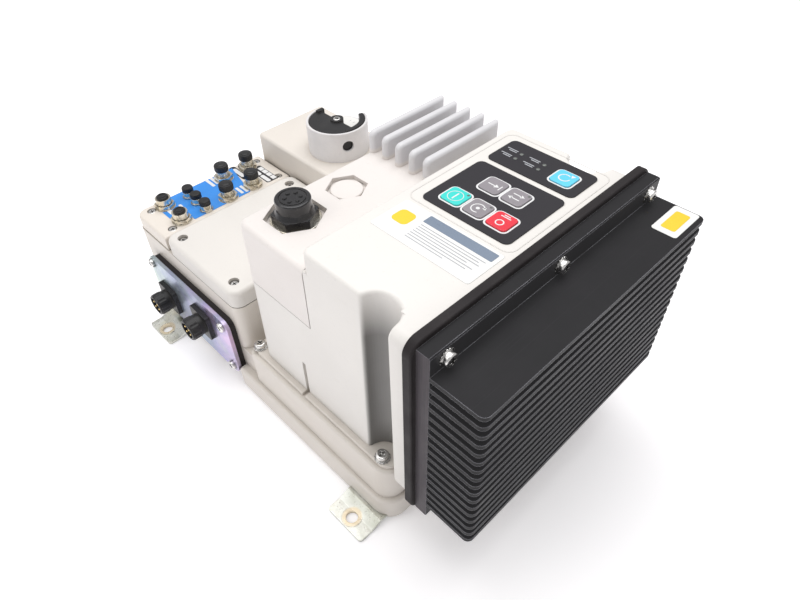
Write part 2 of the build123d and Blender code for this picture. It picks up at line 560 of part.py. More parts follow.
PADLOCK_ANGLE = -21.0
with BuildPart() as disconnect_guard:
    with BuildSketch(Plane.XY.offset(BOX_TOP_Z)) as ring:
        with Locations((SHAFT_X, SHAFT_Y)):
            Circle(GUARD_R)
            Circle(GUARD_R - 2.2, mode=Mode.SUBTRACT)
    extrude(ring.sketch, amount=GUARD_TOP_Z - BOX_TOP_Z)
    fillet(disconnect_guard.faces().sort_by(Axis.Z)[-1].edges(), 0.7)
    # the far side is cut down to the deck of the knob
    with BuildSketch(Plane.XY.offset(DECK_Z)) as opening:
        with BuildLine():
            Polyline(*fan(70.0, 183.0, 50.0), close=True)
        make_face()
    extrude(opening.sketch, amount=20.0, mode=Mode.SUBTRACT)
    with BuildSketch(Plane.XY.offset(BOX_TOP_Z)) as foot_ring:
        with Locations((SHAFT_X, SHAFT_Y)):
            Circle(GUARD_R - 1.0)
            Circle(9.0, mode=Mode.SUBTRACT)
    extrude(foot_ring.sketch, amount=3.0)
    for dx in (-18.0, 18.0):
        post(SHAFT_X + dx, SHAFT_Y, roof_z - 2.0, BOX_TOP_Z, 2.0 - FIT)
    # the padlock hole, radial through the ring on the side that faces the keypad
    toward = (math.cos(math.radians(PADLOCK_ANGLE)), math.sin(math.radians(PADLOCK_ANGLE)), 0.0)
    start = (SHAFT_X + 20.0 * toward[0], SHAFT_Y + 20.0 * toward[1], 147.2)
    with BuildSketch(Plane(start, z_dir=toward)) as padlock:
        Circle(5.1)
    extrude(padlock.sketch, amount=12.0, mode=Mode.SUBTRACT)
disconnect_guard.part.label = "disconnect_guard"
export_step(disconnect_guard.part, "parts/disconnect_guard.step")

with BuildPart() as shaft_seal:
    with BuildSketch(Plane.XZ.offset(-SHAFT_Y)) as seal_section:
        with BuildLine():
            Polyline(
                (SHAFT_X + SHAFT_R + FIT, roof_z - 2.0),
                (SHAFT_X + 8.6, roof_z - 2.0),
                (SHAFT_X + 8.6, roof_z),
                (SHAFT_X + 7.0 - FIT, roof_z),
                (SHAFT_X + 7.0 - FIT, BOX_TOP_Z + 1.5),
                (SHAFT_X + SHAFT_R + FIT, BOX_TOP_Z + 1.5),
                close=True,
            )
        make_face()
    revolve(seal_section.sketch, axis=Axis((SHAFT_X, SHAFT_Y, 0), (0, 0, 1)))
shaft_seal.part.label = "shaft_seal"
export_step(shaft_seal.part, "parts/shaft_seal.step")

KNOB_Z0 = BOX_TOP_Z + 3.6
KNOB_R = GUARD_R - 2.9
KNOB_TOP_Z = GUARD_TOP_Z - 0.5
HUB_R = 6.0
HOOK_END = 70.0
with BuildPart() as disconnect_knob:
    # drum inside the guard, hollow from below
    post(SHAFT_X, SHAFT_Y, KNOB_Z0, DECK_Z, KNOB_R)
    post(SHAFT_X, SHAFT_Y, KNOB_Z0, DECK_Z - 3.0, KNOB_R - 2.5, Mode.SUBTRACT)
    post(SHAFT_X, SHAFT_Y, KNOB_Z0, KNOB_TOP_Z + 1.2, HUB_R)
    # half round grip on the near side
    with BuildSketch(Plane.XY.offset(DECK_Z)) as grip:
        with Locations((SHAFT_X, SHAFT_Y)):
            Circle(KNOB_R)
            with Locations((0, KNOB_R)):
                Rectangle(2.2 * KNOB_R, 2 * KNOB_R, mode=Mode.SUBTRACT)
    extrude(grip.sketch, amount=KNOB_TOP_Z - DECK_Z)
    # curved hook that carries on round the rim
    with BuildSketch(Plane.XY.offset(DECK_Z)) as hook:
        with Locations((SHAFT_X, SHAFT_Y)):
            Circle(KNOB_R)
            Circle(KNOB_R - 4.0, mode=Mode.SUBTRACT)
        with BuildLine():
            Polyline(*fan(-20.0, HOOK_END, 50.0), close=True)
        make_face(mode=Mode.INTERSECT)
    extrude(hook.sketch, amount=KNOB_TOP_Z + 0.9 - DECK_Z)
    # small nub at the other end of the grip
    with BuildSketch(Plane.XY.offset(DECK_Z)) as nub:
        with Locations((SHAFT_X, SHAFT_Y)):
            Circle(KNOB_R)
            Circle(KNOB_R - 3.6, mode=Mode.SUBTRACT)
        with BuildLine():
            Polyline(*fan(172.0, 190.0, 50.0), close=True)
        make_face(mode=Mode.INTERSECT)
    extrude(nub.sketch, amount=KNOB_TOP_Z + 1.6 - DECK_Z)
    post(SHAFT_X, SHAFT_Y, KNOB_TOP_Z - 1.2, KNOB_TOP_Z + 1.2, 3.6, Mode.SUBTRACT)
    post(SHAFT_X, SHAFT_Y, KNOB_TOP_Z - 6.0, KNOB_TOP_Z + 1.2, M4_R, Mode.SUBTRACT)
    post(SHAFT_X, SHAFT_Y, KNOB_Z0, KNOB_TOP_Z - 6.0, SHAFT_R, Mode.SUBTRACT)
disconnect_knob.part.label = "disconnect_knob"
export_step(disconnect_knob.part, "parts/disconnect_knob.step")

with BuildPart() as disconnect_dial:
    # white indicator plate on the open half of the drum
    with BuildSketch(Plane.XY.offset(DECK_Z)) as plate:
        with Locations((SHAFT_X, SHAFT_Y)):
            Circle(KNOB_R - 0.4)
            Circle(HUB_R + 0.2, mode=Mode.SUBTRACT)
            with Locations((0, 0.3 - KNOB_R)):
                Rectangle(2.2 * KNOB_R, 2 * KNOB_R, mode=Mode.SUBTRACT)
    extrude(plate.sketch, amount=1.2)
    for start, end, reach in ((-20.0, HOOK_END + 1.5, KNOB_R - 4.3), (170.5, 190.0, KNOB_R - 3.9)):
        with BuildSketch(Plane.XY.offset(DECK_Z)) as clearance:
            with Locations((SHAFT_X, SHAFT_Y)):
                Circle(KNOB_R)
                Circle(reach, mode=Mode.SUBTRACT)
            with BuildLine():
                Polyline(*fan(start, end, 50.0), close=True)
            make_face(mode=Mode.INTERSECT)
        extrude(clearance.sketch, amount=1.2, mode=Mode.SUBTRACT)
disconnect_dial.part.label = "disconnect_dial"
export_step(disconnect_dial.part, "parts/disconnect_dial.step")

with BuildPart() as disconnect_shaft:
    post(SHAFT_X, SHAFT_Y, 84.0, KNOB_TOP_Z - 6.0, SHAFT_R)
    slab(SHAFT_X - 2.8, SHAFT_X + 2.8, SHAFT_Y - 5.0, SHAFT_Y + 5.0, 84.0, 96.0, mode=Mode.INTERSECT)
    post(SHAFT_X, SHAFT_Y, 96.0, KNOB_TOP_Z - 6.0, SHAFT_R)
    post(SHAFT_X, SHAFT_Y, KNOB_TOP_Z - 16.0, KNOB_TOP_Z - 6.0, M4_R, Mode.SUBTRACT)
disconnect_shaft.part.label = "disconnect_shaft"
export_step(disconnect_shaft.part, "parts/disconnect_shaft.step")

with BuildPart() as knob_screw:
    post(SHAFT_X, SHAFT_Y, KNOB_TOP_Z - 1.2, KNOB_TOP_Z + 1.4, 3.5)
    fillet(knob_screw.faces().sort_by(Axis.Z)[-1].edges(), 0.9)
    post(SHAFT_X, SHAFT_Y, KNOB_TOP_Z - 15.0, KNOB_TOP_Z - 1.2, M4_R - FIT)
    cross_slot(SHAFT_X, SHAFT_Y, KNOB_TOP_Z, KNOB_TOP_Z + 1.4, 3.8, 1.0)
knob_screw.part.label = "knob_screw"
export_step(knob_screw.part, "parts/knob_screw.step")

with BuildPart() as disconnect_switch:
    slab(SHAFT_X - 26.0, SHAFT_X + 26.0, SHAFT_Y - 26.0, SHAFT_Y + 26.0, 80.0, 118.0, 3.0)
    slab(SHAFT_X - 26.0, SHAFT_X + 26.0, SHAFT_Y - 20.0, SHAFT_Y + 20.0, 76.0, 80.0)
    for dx in (-19.0, 19.0):
        for dy in (-19.0, 19.0):
            post(SHAFT_X + dx, SHAFT_Y + dy, 118.0, roof_z, 3.5)
    post(SHAFT_X, SHAFT_Y, 83.0, 118.0, SHAFT_R + FIT, Mode.SUBTRACT)
disconnect_switch.part.label = "disconnect_switch"
export_step(disconnect_switch.part, "parts/disconnect_switch.step")

# ---------------------------------------------------------------- inside the base
with BuildPart() as terminal_block:
    block_x0 = -104.0
    pitch = 9.0
    slab(block_x0, block_x0 + 8 * pitch, -52.0, -20.0, BASE_FLOOR_Z, 38.0)
    slab(block_x0, block_x0 + 8 * pitch, -62.0, -52.0, BASE_FLOOR_Z, 22.0)
    for way in range(8):
        x = block_x0 + (way + 0.5) * pitch
        post(x, -36.0, 30.0, 38.0, 3.0, Mode.SUBTRACT)
        slab(x - 3.2, x + 3.2, -62.0, -54.0, 13.0, 19.0, mode=Mode.SUBTRACT)
terminal_block.part.label = "terminal_block"
export_step(terminal_block.part, "parts/terminal_block.step")

with BuildPart() as io_board:
    slab(-170.0, -125.0, -84.0, 13.5, SIGNAL_BOARD_Z - 1.6, SIGNAL_BOARD_Z)
    for x, y in PANEL_SCREWS:
        post(x, y, SIGNAL_BOARD_Z - 1.6, SIGNAL_BOARD_Z, 7.0, Mode.SUBTRACT)
    slab(-156.0, -140.0, -50.0, -30.0, SIGNAL_BOARD_Z - 5.0, SIGNAL_BOARD_Z - 1.6)
    slab(-152.0, -142.0, -8.0, 6.0, SIGNAL_BOARD_Z - 6.0, SIGNAL_BOARD_Z - 1.6)
io_board.part.label = "io_board"
export_step(io_board.part, "parts/io_board.step")

with BuildPart() as base_socket:
    slab(26.0, 58.0, -26.0, 26.0, BASE_FLOOR_Z, 14.0)
    slab(30.0, 54.0, -22.0, 22.0, 14.0, 44.0, 2.0)
    slab(33.0, 51.0, -19.0, 19.0, 24.0, 44.0, 1.0, Mode.SUBTRACT)
base_socket.part.label = "base_socket"
export_step(base_socket.part, "parts/base_socket.step")

# ================================================================ control module
with BuildPart() as module_tray:
    slab(-7.0, 151.0, -104.0, 104.0, LEDGE_Z, COVER_Z0, 10.0)
    fillet(module_tray.faces().sort_by(Axis.Z)[-1].edges(), 1.0)
    slab(34.0, 50.0, -18.0, 18.0, LEDGE_Z, COVER_Z0, 1.0, Mode.SUBTRACT)
    for sy in (-1, 1):
        side = sorted((sy * (COVER_Y - 2.3), sy * (COVER_Y + 8.0)))
        slab(58.0, 61.5, side[0], side[1], LEDGE_Z, COVER_Z0, mode=Mode.SUBTRACT)
    for x, y in MODULE_SCREWS:
        post(x, y, LEDGE_Z, COVER_Z0, M5_R + 0.3, Mode.SUBTRACT)
module_tray.part.label = "module_tray"
export_step(module_tray.part, "parts/module_tray.step")

NOTCH_X0 = 127.6
NOTCH_Y = 85.3
NOTCH_R = 13.4
with BuildPart() as cover_cavity:
    control_envelope(COVER_WALL, COVER_TOP_Z - COVER_WALL)
    slab(-10.0, STEP_X + COVER_WALL, -120.0, 120.0, PARTING_Z - COVER_WALL, 220.0, mode=Mode.SUBTRACT)
    for sy in (-1, 1):
        side = sorted((sy * (NOTCH_Y - COVER_WALL), sy * 130.0))
        slab(NOTCH_X0 - COVER_WALL, FLANGE_X0 + 20.0, side[0], side[1], COVER_Z0, 220.0, NOTCH_R + COVER_WALL,
             Mode.SUBTRACT)

with BuildPart() as cover_crown:
    # the keypad end above the connector head, with its rounded step corners
    control_envelope(0.0, COVER_TOP_Z)
    slab(STEP_X, 200.0, -120.0, 120.0, HEAD_TOP_Z, 220.0, mode=Mode.INTERSECT)
    step_face = cover_crown.faces().sort_by(Axis.X)[0]
    fillet([edge for edge in step_face.edges() if edge.bounding_box().size.Z > 10.0], 6.0)

with BuildPart() as module_cover:
    control_envelope(0.0, COVER_TOP_Z)
    slab(-10.0, STEP_X, -120.0, 120.0, PARTING_Z, 220.0, mode=Mode.SUBTRACT)
    slab(STEP_X - 1.0, 200.0, -120.0, 120.0, HEAD_TOP_Z, 220.0, mode=Mode.SUBTRACT)
    add(cover_crown.part)
    for sy in (-1, 1):
        side = sorted((sy * NOTCH_Y, sy * 130.0))
        slab(NOTCH_X0, FLANGE_X0 + 4.0, side[0], side[1], COVER_Z0, 220.0, mode=Mode.SUBTRACT)
    # the flange that takes the heat sink, flush with the keypad face
    plate_x(-COVER_FLANGE_Y, COVER_FLANGE_Y, FLANGE_Z0, COVER_TOP_Z, FLANGE_X0, FLANGE_X1, 7.0)
    upright = [edge for edge in module_cover.edges() if edge.bounding_box().size.Z > 100.0]
    fillet([edge for edge in upright if abs(abs(edge.center().Y) - NOTCH_Y) < 0.5], NOTCH_R)
    upright = [edge for edge in module_cover.edges() if edge.bounding_box().size.Z > 100.0]
    fillet([edge for edge in upright if abs(edge.center().X - NOTCH_X0) < 0.5], 3.0)
    top_edges = module_cover.faces().sort_by(Axis.Z)[-1].edges()
    soft_edges = [edge for edge in top_edges if edge.center().X < FLANGE_X0 + 0.5]
    for edge in module_cover.edges():
        on_back = abs(edge.center().X - FLANGE_X0) < 0.1 and edge.bounding_box().size.X < 0.01
        outer = abs(edge.center().Y) > 94.0 and edge.center().Z > FLANGE_Z0 + 1.0
        if on_back and outer and edge not in soft_edges:
            soft_edges.append(edge)
    fillet(soft_edges, 2.6)
    slab(FLANGE_X0 - 4.0, FLANGE_X0 + 4.0, -90.0, 90.0, COVER_TOP_Z - 6.0, COVER_TOP_Z)
    add(cover_cavity.part, mode=Mode.SUBTRACT)
    plate_x(-80.0, 80.0, 72.0, 192.0, 150.0, 162.0, 6.0, Mode.SUBTRACT)
    plate_x(-92.0, 92.0, 72.0, 192.0, 162.0, FLANGE_X1, 6.0, Mode.SUBTRACT)
    # the deck under the connector head is open for its wiring
    slab(14.0, 60.0, -84.0, 60.0, PARTING_Z - COVER_WALL, PARTING_Z, 6.0, Mode.SUBTRACT)
    # shallow upright slots at the foot of both long sides
    for sy in (-1, 1):
        side = sorted((sy * (COVER_Y - 2.3), sy * (COVER_Y + 2.0)))
        slab(58.0, 61.5, side[0], side[1], COVER_Z0, 93.0, mode=Mode.SUBTRACT)
    # keypad posts and openings, and the tapped holes for the heat sink
    for x, y in BOARD_POSTS:
        post(x, y, 197.6, COVER_TOP_Z - 1.0, 3.2)
        post(x, y, 197.6, COVER_TOP_Z - 2.0, 1.5, Mode.SUBTRACT)
    for x, y in KEYS.values():
        half = KEY_SIZE / 2 + FIT
        slab(x - half, x + half, y - half, y + half, COVER_TOP_Z - COVER_WALL, COVER_TOP_Z, 3.0,
             Mode.SUBTRACT)
    for x, y in STATUS_LEDS:
        post(x, y, COVER_TOP_Z - COVER_WALL, COVER_TOP_Z, 1.1, Mode.SUBTRACT)
    for y, z in SINK_SCREWS:
        post_x(y, z, FLANGE_X1 - 12.0, FLANGE_X1, M5_R, Mode.SUBTRACT)
module_cover.part.label = "module_cover"
export_step(module_cover.part, "parts/module_cover.step")

# ---------------------------------------------------------------- connector head
with BuildPart() as cooling_rib:
    with BuildSketch(Plane.YZ.offset(0.0)) as rib_side:
        with BuildLine():
            Polyline(
                (RIB_Y0, HEAD_TOP_Z - 4.5),
                (RIB_Y1, HEAD_TOP_Z - 4.5),
                (RIB_Y1, RIB_TOP_Z),
                (RIB_Y0, RIB_TOP_Z),
                close=True,
            )
        make_face()
        fillet(rib_side.vertices().group_by(Axis.Y)[0].sort_by(Axis.Z)[-1], 11.0)
        fillet(rib_side.vertices().group_by(Axis.Y)[-1].sort_by(Axis.Z)[-1], 5.0)
    extrude(rib_side.sketch, amount=RIB_WIDTH)
    bottom_edges = cooling_rib.faces().sort_by(Axis.Z)[0].edges()
    rib_sides = cooling_rib.faces().group_by(Axis.X)
    long_edges = rib_sides[0].edges() + rib_sides[-1].edges()
    fillet([edge for edge in long_edges if edge not in bottom_edges], 2.7)

HEX_R = 21.2
BLANK_R = 15.0
SEAT_Z = HEAD_TOP_Z - 4.5
with BuildPart() as connector_head:
    control_envelope(0.0, COVER_TOP_Z)
    slab(-10.0, STEP_X - 0.8, -120.0, 120.0, PARTING_Z + 0.4, HEAD_TOP_Z, mode=Mode.INTERSECT)
    head_top = connector_head.faces().sort_by(Axis.Z)[-1]
    fillet([edge for edge in head_top.edges() if edge.center().X < STEP_X - 2.0], 4.0)
    slab(COVER_X0 + 5.4, STEP_X - 4.0, -93.6, 93.6, PARTING_Z + 0.4, HEAD_TOP_Z - WALL, 6.0, Mode.SUBTRACT)
    for rib in range(RIB_COUNT):
        add(cooling_rib.part.moved(Location((RIB_X0 + rib * RIB_PITCH, 0, 0))))
    post(MOTOR_CENTRE[0], MOTOR_CENTRE[1], SEAT_Z - 3.5, HEAD_TOP_Z - 2.0, 22.0)
    hexagon(MOTOR_CENTRE[0], MOTOR_CENTRE[1], SEAT_Z, HEAD_TOP_Z, HEX_R, Mode.SUBTRACT)
    post(MOTOR_CENTRE[0], MOTOR_CENTRE[1], SEAT_Z - 3.5, SEAT_Z, 10.5 + FIT, Mode.SUBTRACT)
    post(BLANK_CENTRE[0], BLANK_CENTRE[1], HEAD_TOP_Z - 6.0, HEAD_TOP_Z - 2.0, 16.5)
    hexagon(BLANK_CENTRE[0], BLANK_CENTRE[1], HEAD_TOP_Z - 3.4, HEAD_TOP_Z, BLANK_R, Mode.SUBTRACT)
    post(BLANK_CENTRE[0], BLANK_CENTRE[1], HEAD_TOP_Z - 6.0, HEAD_TOP_Z, 8.0 + FIT, Mode.SUBTRACT)
connector_head.part.label = "connector_head"
export_step(connector_head.part, "parts/connector_head.step")

with BuildPart() as blank_plug:
    bx, by = BLANK_CENTRE
    post(bx, by, HEAD_TOP_Z - 3.4, HEAD_TOP_Z - 1.5, 11.6)
    fillet(blank_plug.faces().sort_by(Axis.Z)[-1].edges(), 0.8)
    post(bx, by, HEAD_TOP_Z - 14.0, HEAD_TOP_Z - 3.4, 8.0)
blank_plug.part.label = "blank_plug"
export_step(blank_plug.part, "parts/blank_plug.step")

mx, my = MOTOR_CENTRE
with BuildPart() as motor_connector_flange:
    post(mx, my, SEAT_Z, SEAT_Z + 1.8, 17.2)
    fillet(motor_connector_flange.faces().sort_by(Axis.Z)[-1].edges(), 0.5)
    post(mx, my, SEAT_Z, SEAT_Z + 1.8, 10.5 + FIT, Mode.SUBTRACT)
motor_connector_flange.part.label = "motor_connector_flange"
export_step(motor_connector_flange.part, "parts/motor_connector_flange.step")

with BuildPart() as motor_connector:
    hexagon(mx, my, SEAT_Z + 1.8, SEAT_Z + 7.2, 15.8)
    with BuildSketch(Plane.XZ.offset(-my)) as barrel:
        with BuildLine():
            Polyline(
                (mx, SEAT_Z + 7.2),
                (mx + 13.6, SEAT_Z + 7.2),
                (mx + 12.0, SEAT_Z + 10.5),
                (mx + 9.6, SEAT_Z + 10.5),
                (mx + 9.6, SEAT_Z + 15.0),
                (mx, SEAT_Z + 15.0),
                close=True,
            )
        make_face()
    revolve(barrel.sketch, axis=Axis((mx, my, 0), (0, 0, 1)))
    post(mx, my, SEAT_Z - 12.0, SEAT_Z + 1.8, 10.5)
motor_connector.part.label = "motor_connector"
export_step(motor_connector.part, "parts/motor_connector.step")

with BuildPart() as motor_connector_cap:
    post(mx, my, SEAT_Z + 10.5, SEAT_Z + 18.2, 12.0)
    fillet(motor_connector_cap.faces().sort_by(Axis.Z)[-1].edges(), 1.2)
    with BuildSketch(Plane.XY.offset(SEAT_Z + 17.2)) as cap_groove:
        with Locations((mx, my)):
            Circle(9.4)
            Circle(8.6, mode=Mode.SUBTRACT)
    extrude(cap_groove.sketch, amount=1.0, mode=Mode.SUBTRACT)
    with BuildSketch(Plane.XY.offset(SEAT_Z + 18.2)) as grip_dots:
        with Locations((mx, my)):
            with PolarLocations(5.2, 6):
                Circle(1.5)
    extrude(grip_dots.sketch, amount=0.7)
    post(mx, my, SEAT_Z + 10.5, SEAT_Z + 15.0, 9.6 + FIT, Mode.SUBTRACT)
motor_connector_cap.part.label = "motor_connector_cap"
export_step(motor_connector_cap.part, "parts/motor_connector_cap.step")

with BuildPart() as motor_leads:
    for lead in range(4):
        dx = (lead - 1.5) * 3.6
        with BuildLine() as route:
            Spline(
                (mx + dx, my, SEAT_Z - 12.0),
                (mx + dx + 2.0, my + 8.0, 150.0),
                (mx + dx + 4.0, my + 26.0, 115.0),
                (mx + dx + 4.0, my + 30.0, 86.0),
                tangents=((0, 0, -1), (0, 0, -1)),
            )
        with BuildSketch(Plane(route.line @ 0, z_dir=route.line % 0)) as wire:
            Circle(1.4)
        sweep(wire.sketch, path=route.line)
motor_leads.part.label = "motor_leads"
export_step(motor_leads.part, "parts/motor_leads.step")

# ---------------------------------------------------------------- keypad
def overlay_plate(bounds, openings, leds):
    """A thin printed sheet with an opening for each key and light."""
    x0, x1, y0, y1 = bounds
    top = COVER_TOP_Z + OVERLAY_THICK
    slab(x0, x1, y0, y1, COVER_TOP_Z, top, 4.4)
    for x, y in openings:
        half = KEY_SIZE / 2 + FIT
        slab(x - half, x + half, y - half, y + half, COVER_TOP_Z, top, 3.0, Mode.SUBTRACT)
    for x, y in leds:
        post(x, y, COVER_TOP_Z, top, 1.1, Mode.SUBTRACT)


with BuildPart() as keypad_overlay_lower:
    overlay_plate(LOWER_OVERLAY, [place for name, place in KEYS.items() if name != "reset_button"], [])
keypad_overlay_lower.part.label = "keypad_overlay_lower"
export_step(keypad_overlay_lower.part, "parts/keypad_overlay_lower.step")

with BuildPart() as keypad_overlay_upper:
    overlay_plate(UPPER_OVERLAY, [KEYS["reset_button"]], STATUS_LEDS)
keypad_overlay_upper.part.label = "keypad_overlay_upper"
export_step(keypad_overlay_upper.part, "parts/keypad_overlay_upper.step")

KEY_TOP_Z = COVER_TOP_Z + OVERLAY_THICK + KEY_PROUD
KEY_FLANGE_Z1 = COVER_TOP_Z - COVER_WALL - FIT
STEM_Z0 = 199.4


def key_cap(place):
    """One push key: cap, retaining flange under the cover and the stem that meets its dome."""
    x, y = place
    half = KEY_SIZE / 2 - FIT
    slab(x - half, x + half, y - half, y + half, KEY_FLANGE_Z1 - 0.2, KEY_TOP_Z, 2.9)
    top_face = key.faces().sort_by(Axis.Z)[-1]
    fillet(top_face.edges(), 0.5)
    rim = half + 0.9
    slab(x - rim, x + rim, y - rim, y + rim, KEY_FLANGE_Z1 - 1.2, KEY_FLANGE_Z1, 3.4)
    post(x, y, STEM_Z0, KEY_FLANGE_Z1 - 1.2, 2.5)


with BuildPart() as key:
    key_cap(KEYS["hand_button"])
hand_button = key
hand_button.part.label = "hand_button"
export_step(hand_button.part, "parts/hand_button.step")

with BuildPart() as key:
    key_cap(KEYS["auto_button"])
auto_button = key
auto_button.part.label = "auto_button"
export_step(auto_button.part, "parts/auto_button.step")

with BuildPart() as key:
    key_cap(KEYS["off_button"])
off_button = key
off_button.part.label = "off_button"
export_step(off_button.part, "parts/off_button.step")

with BuildPart() as key:
    key_cap(KEYS["jog_button"])
jog_button = key
jog_button.part.label = "jog_button"
export_step(jog_button.part, "parts/jog_button.step")

with BuildPart() as key:
    key_cap(KEYS["direction_button"])
direction_button = key
direction_button.part.label = "direction_button"
export_step(direction_button.part, "parts/direction_button.step")

with BuildPart() as key:
    key_cap(KEYS["reset_button"])
reset_button = key
reset_button.part.label = "reset_button"
export_step(reset_button.part, "parts/reset_button.step")

BOARD_TOP_Z = 197.6
with BuildPart() as keypad_domes:
    for x, y in KEYS.values():
        post(x, y, BOARD_TOP_Z, BOARD_TOP_Z + 1.1, 3.5)
    fillet(keypad_domes.faces().group_by(Axis.Z)[-1].edges(), 0.9)
keypad_domes.part.label = "keypad_domes"
export_step(keypad_domes.part, "parts/keypad_domes.step")

with BuildPart() as keypad_board:
    slab(89.0, 160.0, -10.0, 80.5, BOARD_TOP_Z - 1.6, BOARD_TOP_Z)
    slab(93.0, 101.0, 24.0, 56.0, BOARD_TOP_Z - 6.0, BOARD_TOP_Z - 1.6)
keypad_board.part.label = "keypad_board"
export_step(keypad_board.part, "parts/keypad_board.step")

with BuildPart() as status_leds:
    for x, y in STATUS_LEDS:
        post(x, y, BOARD_TOP_Z, COVER_TOP_Z + OVERLAY_THICK, 1.1 - FIT)
status_leds.part.label = "status_leds"
export_step(status_leds.part, "parts/status_leds.step")

CONTROL_Z0 = 76.0
with BuildPart() as ribbon_cable:
    with BuildSketch(Plane.XZ.offset(-26.0)) as ribbon_side:
        with BuildLine():
            Polyline(
                (96.5, BOARD_TOP_Z - 6.0),
                (96.5, BOARD_TOP_Z - 9.0),
                (86.0, BOARD_TOP_Z - 16.0),
                (86.0, CONTROL_Z0 + 14.0),
                (90.0, CONTROL_Z0 + 8.6),
                (91.2, CONTROL_Z0 + 8.6),
                (87.2, CONTROL_Z0 + 14.0),
                (87.2, BOARD_TOP_Z - 16.6),
                (97.7, BOARD_TOP_Z - 9.6),
                (97.7, BOARD_TOP_Z - 6.0),
                close=True,
            )
        make_face()
    extrude(ribbon_side.sketch, amount=-26.0)
ribbon_cable.part.label = "ribbon_cable"
export_step(ribbon_cable.part, "parts/ribbon_cable.step")

# ---------------------------------------------------------------- boards and power parts
CONTROL_POSTS = [(x, y) for x in (22.0, 76.0, 130.0) for y in (-72.0, 72.0)]
POWER_POSTS = [(y, z) for y in (-70.0, 70.0) for z in (86.0, 184.0)]
POWER_X0 = 148.0
with BuildPart() as control_board:
    slab(14.0, 138.0, -80.0, 80.0, CONTROL_Z0, CONTROL_Z0 + 1.6)
    slab(84.0, 94.0, 24.0, 54.0, CONTROL_Z0 + 1.6, CONTROL_Z0 + 8.6)
    slab(20.0, 46.0, -46.0, -28.0, CONTROL_Z0 + 1.6, CONTROL_Z0 + 10.0)
    slab(60.0, 78.0, -20.0, -2.0, CONTROL_Z0 + 1.6, CONTROL_Z0 + 4.0)
    slab(104.0, 124.0, -30.0, 6.0, CONTROL_Z0 + 1.6, CONTROL_Z0 + 4.6)
    slab(34.4, 49.6, -17.6, 17.6, 30.0, CONTROL_Z0, 0.8)
control_board.part.label = "control_board"
export_step(control_board.part, "parts/control_board.step")

with BuildPart() as board_standoffs:
    for x, y in CONTROL_POSTS:
        hexagon(x, y, COVER_Z0, CONTROL_Z0, 3.6)
    for y, z in POWER_POSTS:
        post_x(y, z, POWER_X0 + 2.0, SINK_X0, 3.6)
board_standoffs.part.label = "board_standoffs"
export_step(board_standoffs.part, "parts/board_standoffs.step")

with BuildPart() as power_board:
    plate_x(-78.0, 78.0, 80.0, 190.0, POWER_X0, POWER_X0 + 2.0, 2.0)
power_board.part.label = "power_board"
export_step(power_board.part, "parts/power_board.step")

CAPACITORS = [(y, z) for y in (-57.0, -19.0, 19.0, 57.0) for z in (120.0, 160.0)]
with BuildPart() as bus_capacitors:
    for y, z in CAPACITORS:
        post_x(y, z, POWER_X0 - 42.0, POWER_X0, 17.5)
    fillet(bus_capacitors.faces().group_by(Axis.X)[0].edges(), 1.5)
bus_capacitors.part.label = "bus_capacitors"
export_step(bus_capacitors.part, "parts/bus_capacitors.step")

with BuildPart() as power_module:
    plate_x(-46.0, 46.0, 104.0, 168.0, SINK_X0 - 20.0, SINK_X0, 3.0)
    for y in (-40.0, -24.0, -8.0, 8.0, 24.0, 40.0):
        for z in (108.0, 164.0):
            post_x(y, z, POWER_X0 + 2.0, SINK_X0 - 20.0, 1.2)
power_module.part.label = "power_module"
export_step(power_module.part, "parts/power_module.step")

# ---------------------------------------------------------------- heat sink
with BuildPart() as heat_sink_gasket:
    plate_x(-FLANGE_Y, FLANGE_Y, 53.6, 214.0, FLANGE_X1, SINK_X0, 9.0)
    fillet(heat_sink_gasket.faces().group_by(Axis.X)[-1].edges(), 1.2)
    plate_x(-92.0, 92.0, 72.0, 192.0, FLANGE_X1, SINK_X0, 6.0, Mode.SUBTRACT)
    for y, z in SINK_SCREWS:
        post_x(y, z, FLANGE_X1, SINK_X0, M5_R, Mode.SUBTRACT)
heat_sink_gasket.part.label = "heat_sink_gasket"
export_step(heat_sink_gasket.part, "parts/heat_sink_gasket.step")

FIN_PITCH = (FIN_Z1 - FIN_Z0 - FIN_THICK) / (FIN_COUNT - 1)
with BuildPart() as heat_sink:
    plate_x(-SINK_Y, SINK_Y, SINK_Z0, SINK_Z1, SINK_X0, SINK_X0 + SINK_PLATE)
    chamfer(heat_sink.edges().filter_by(Axis.Y).group_by(Axis.X)[-1], 0.8)
    for fin in range(FIN_COUNT):
        z = FIN_Z0 + fin * FIN_PITCH
        slab(SINK_X0 + 1.0, SINK_X1, -SINK_Y, SINK_Y, z, z + FIN_THICK, 0.0)
    fin_corners = heat_sink.edges().filter_by(Axis.Z).group_by(Axis.X)[-1]
    fillet(fin_corners, 4.5)
    for y, z in SINK_SCREWS:
        post_x(y, z, SINK_X0, SINK_X0 + SINK_PLATE, M5_R + 0.3, Mode.SUBTRACT)
heat_sink.part.label = "heat_sink"
export_step(heat_sink.part, "parts/heat_sink.step")

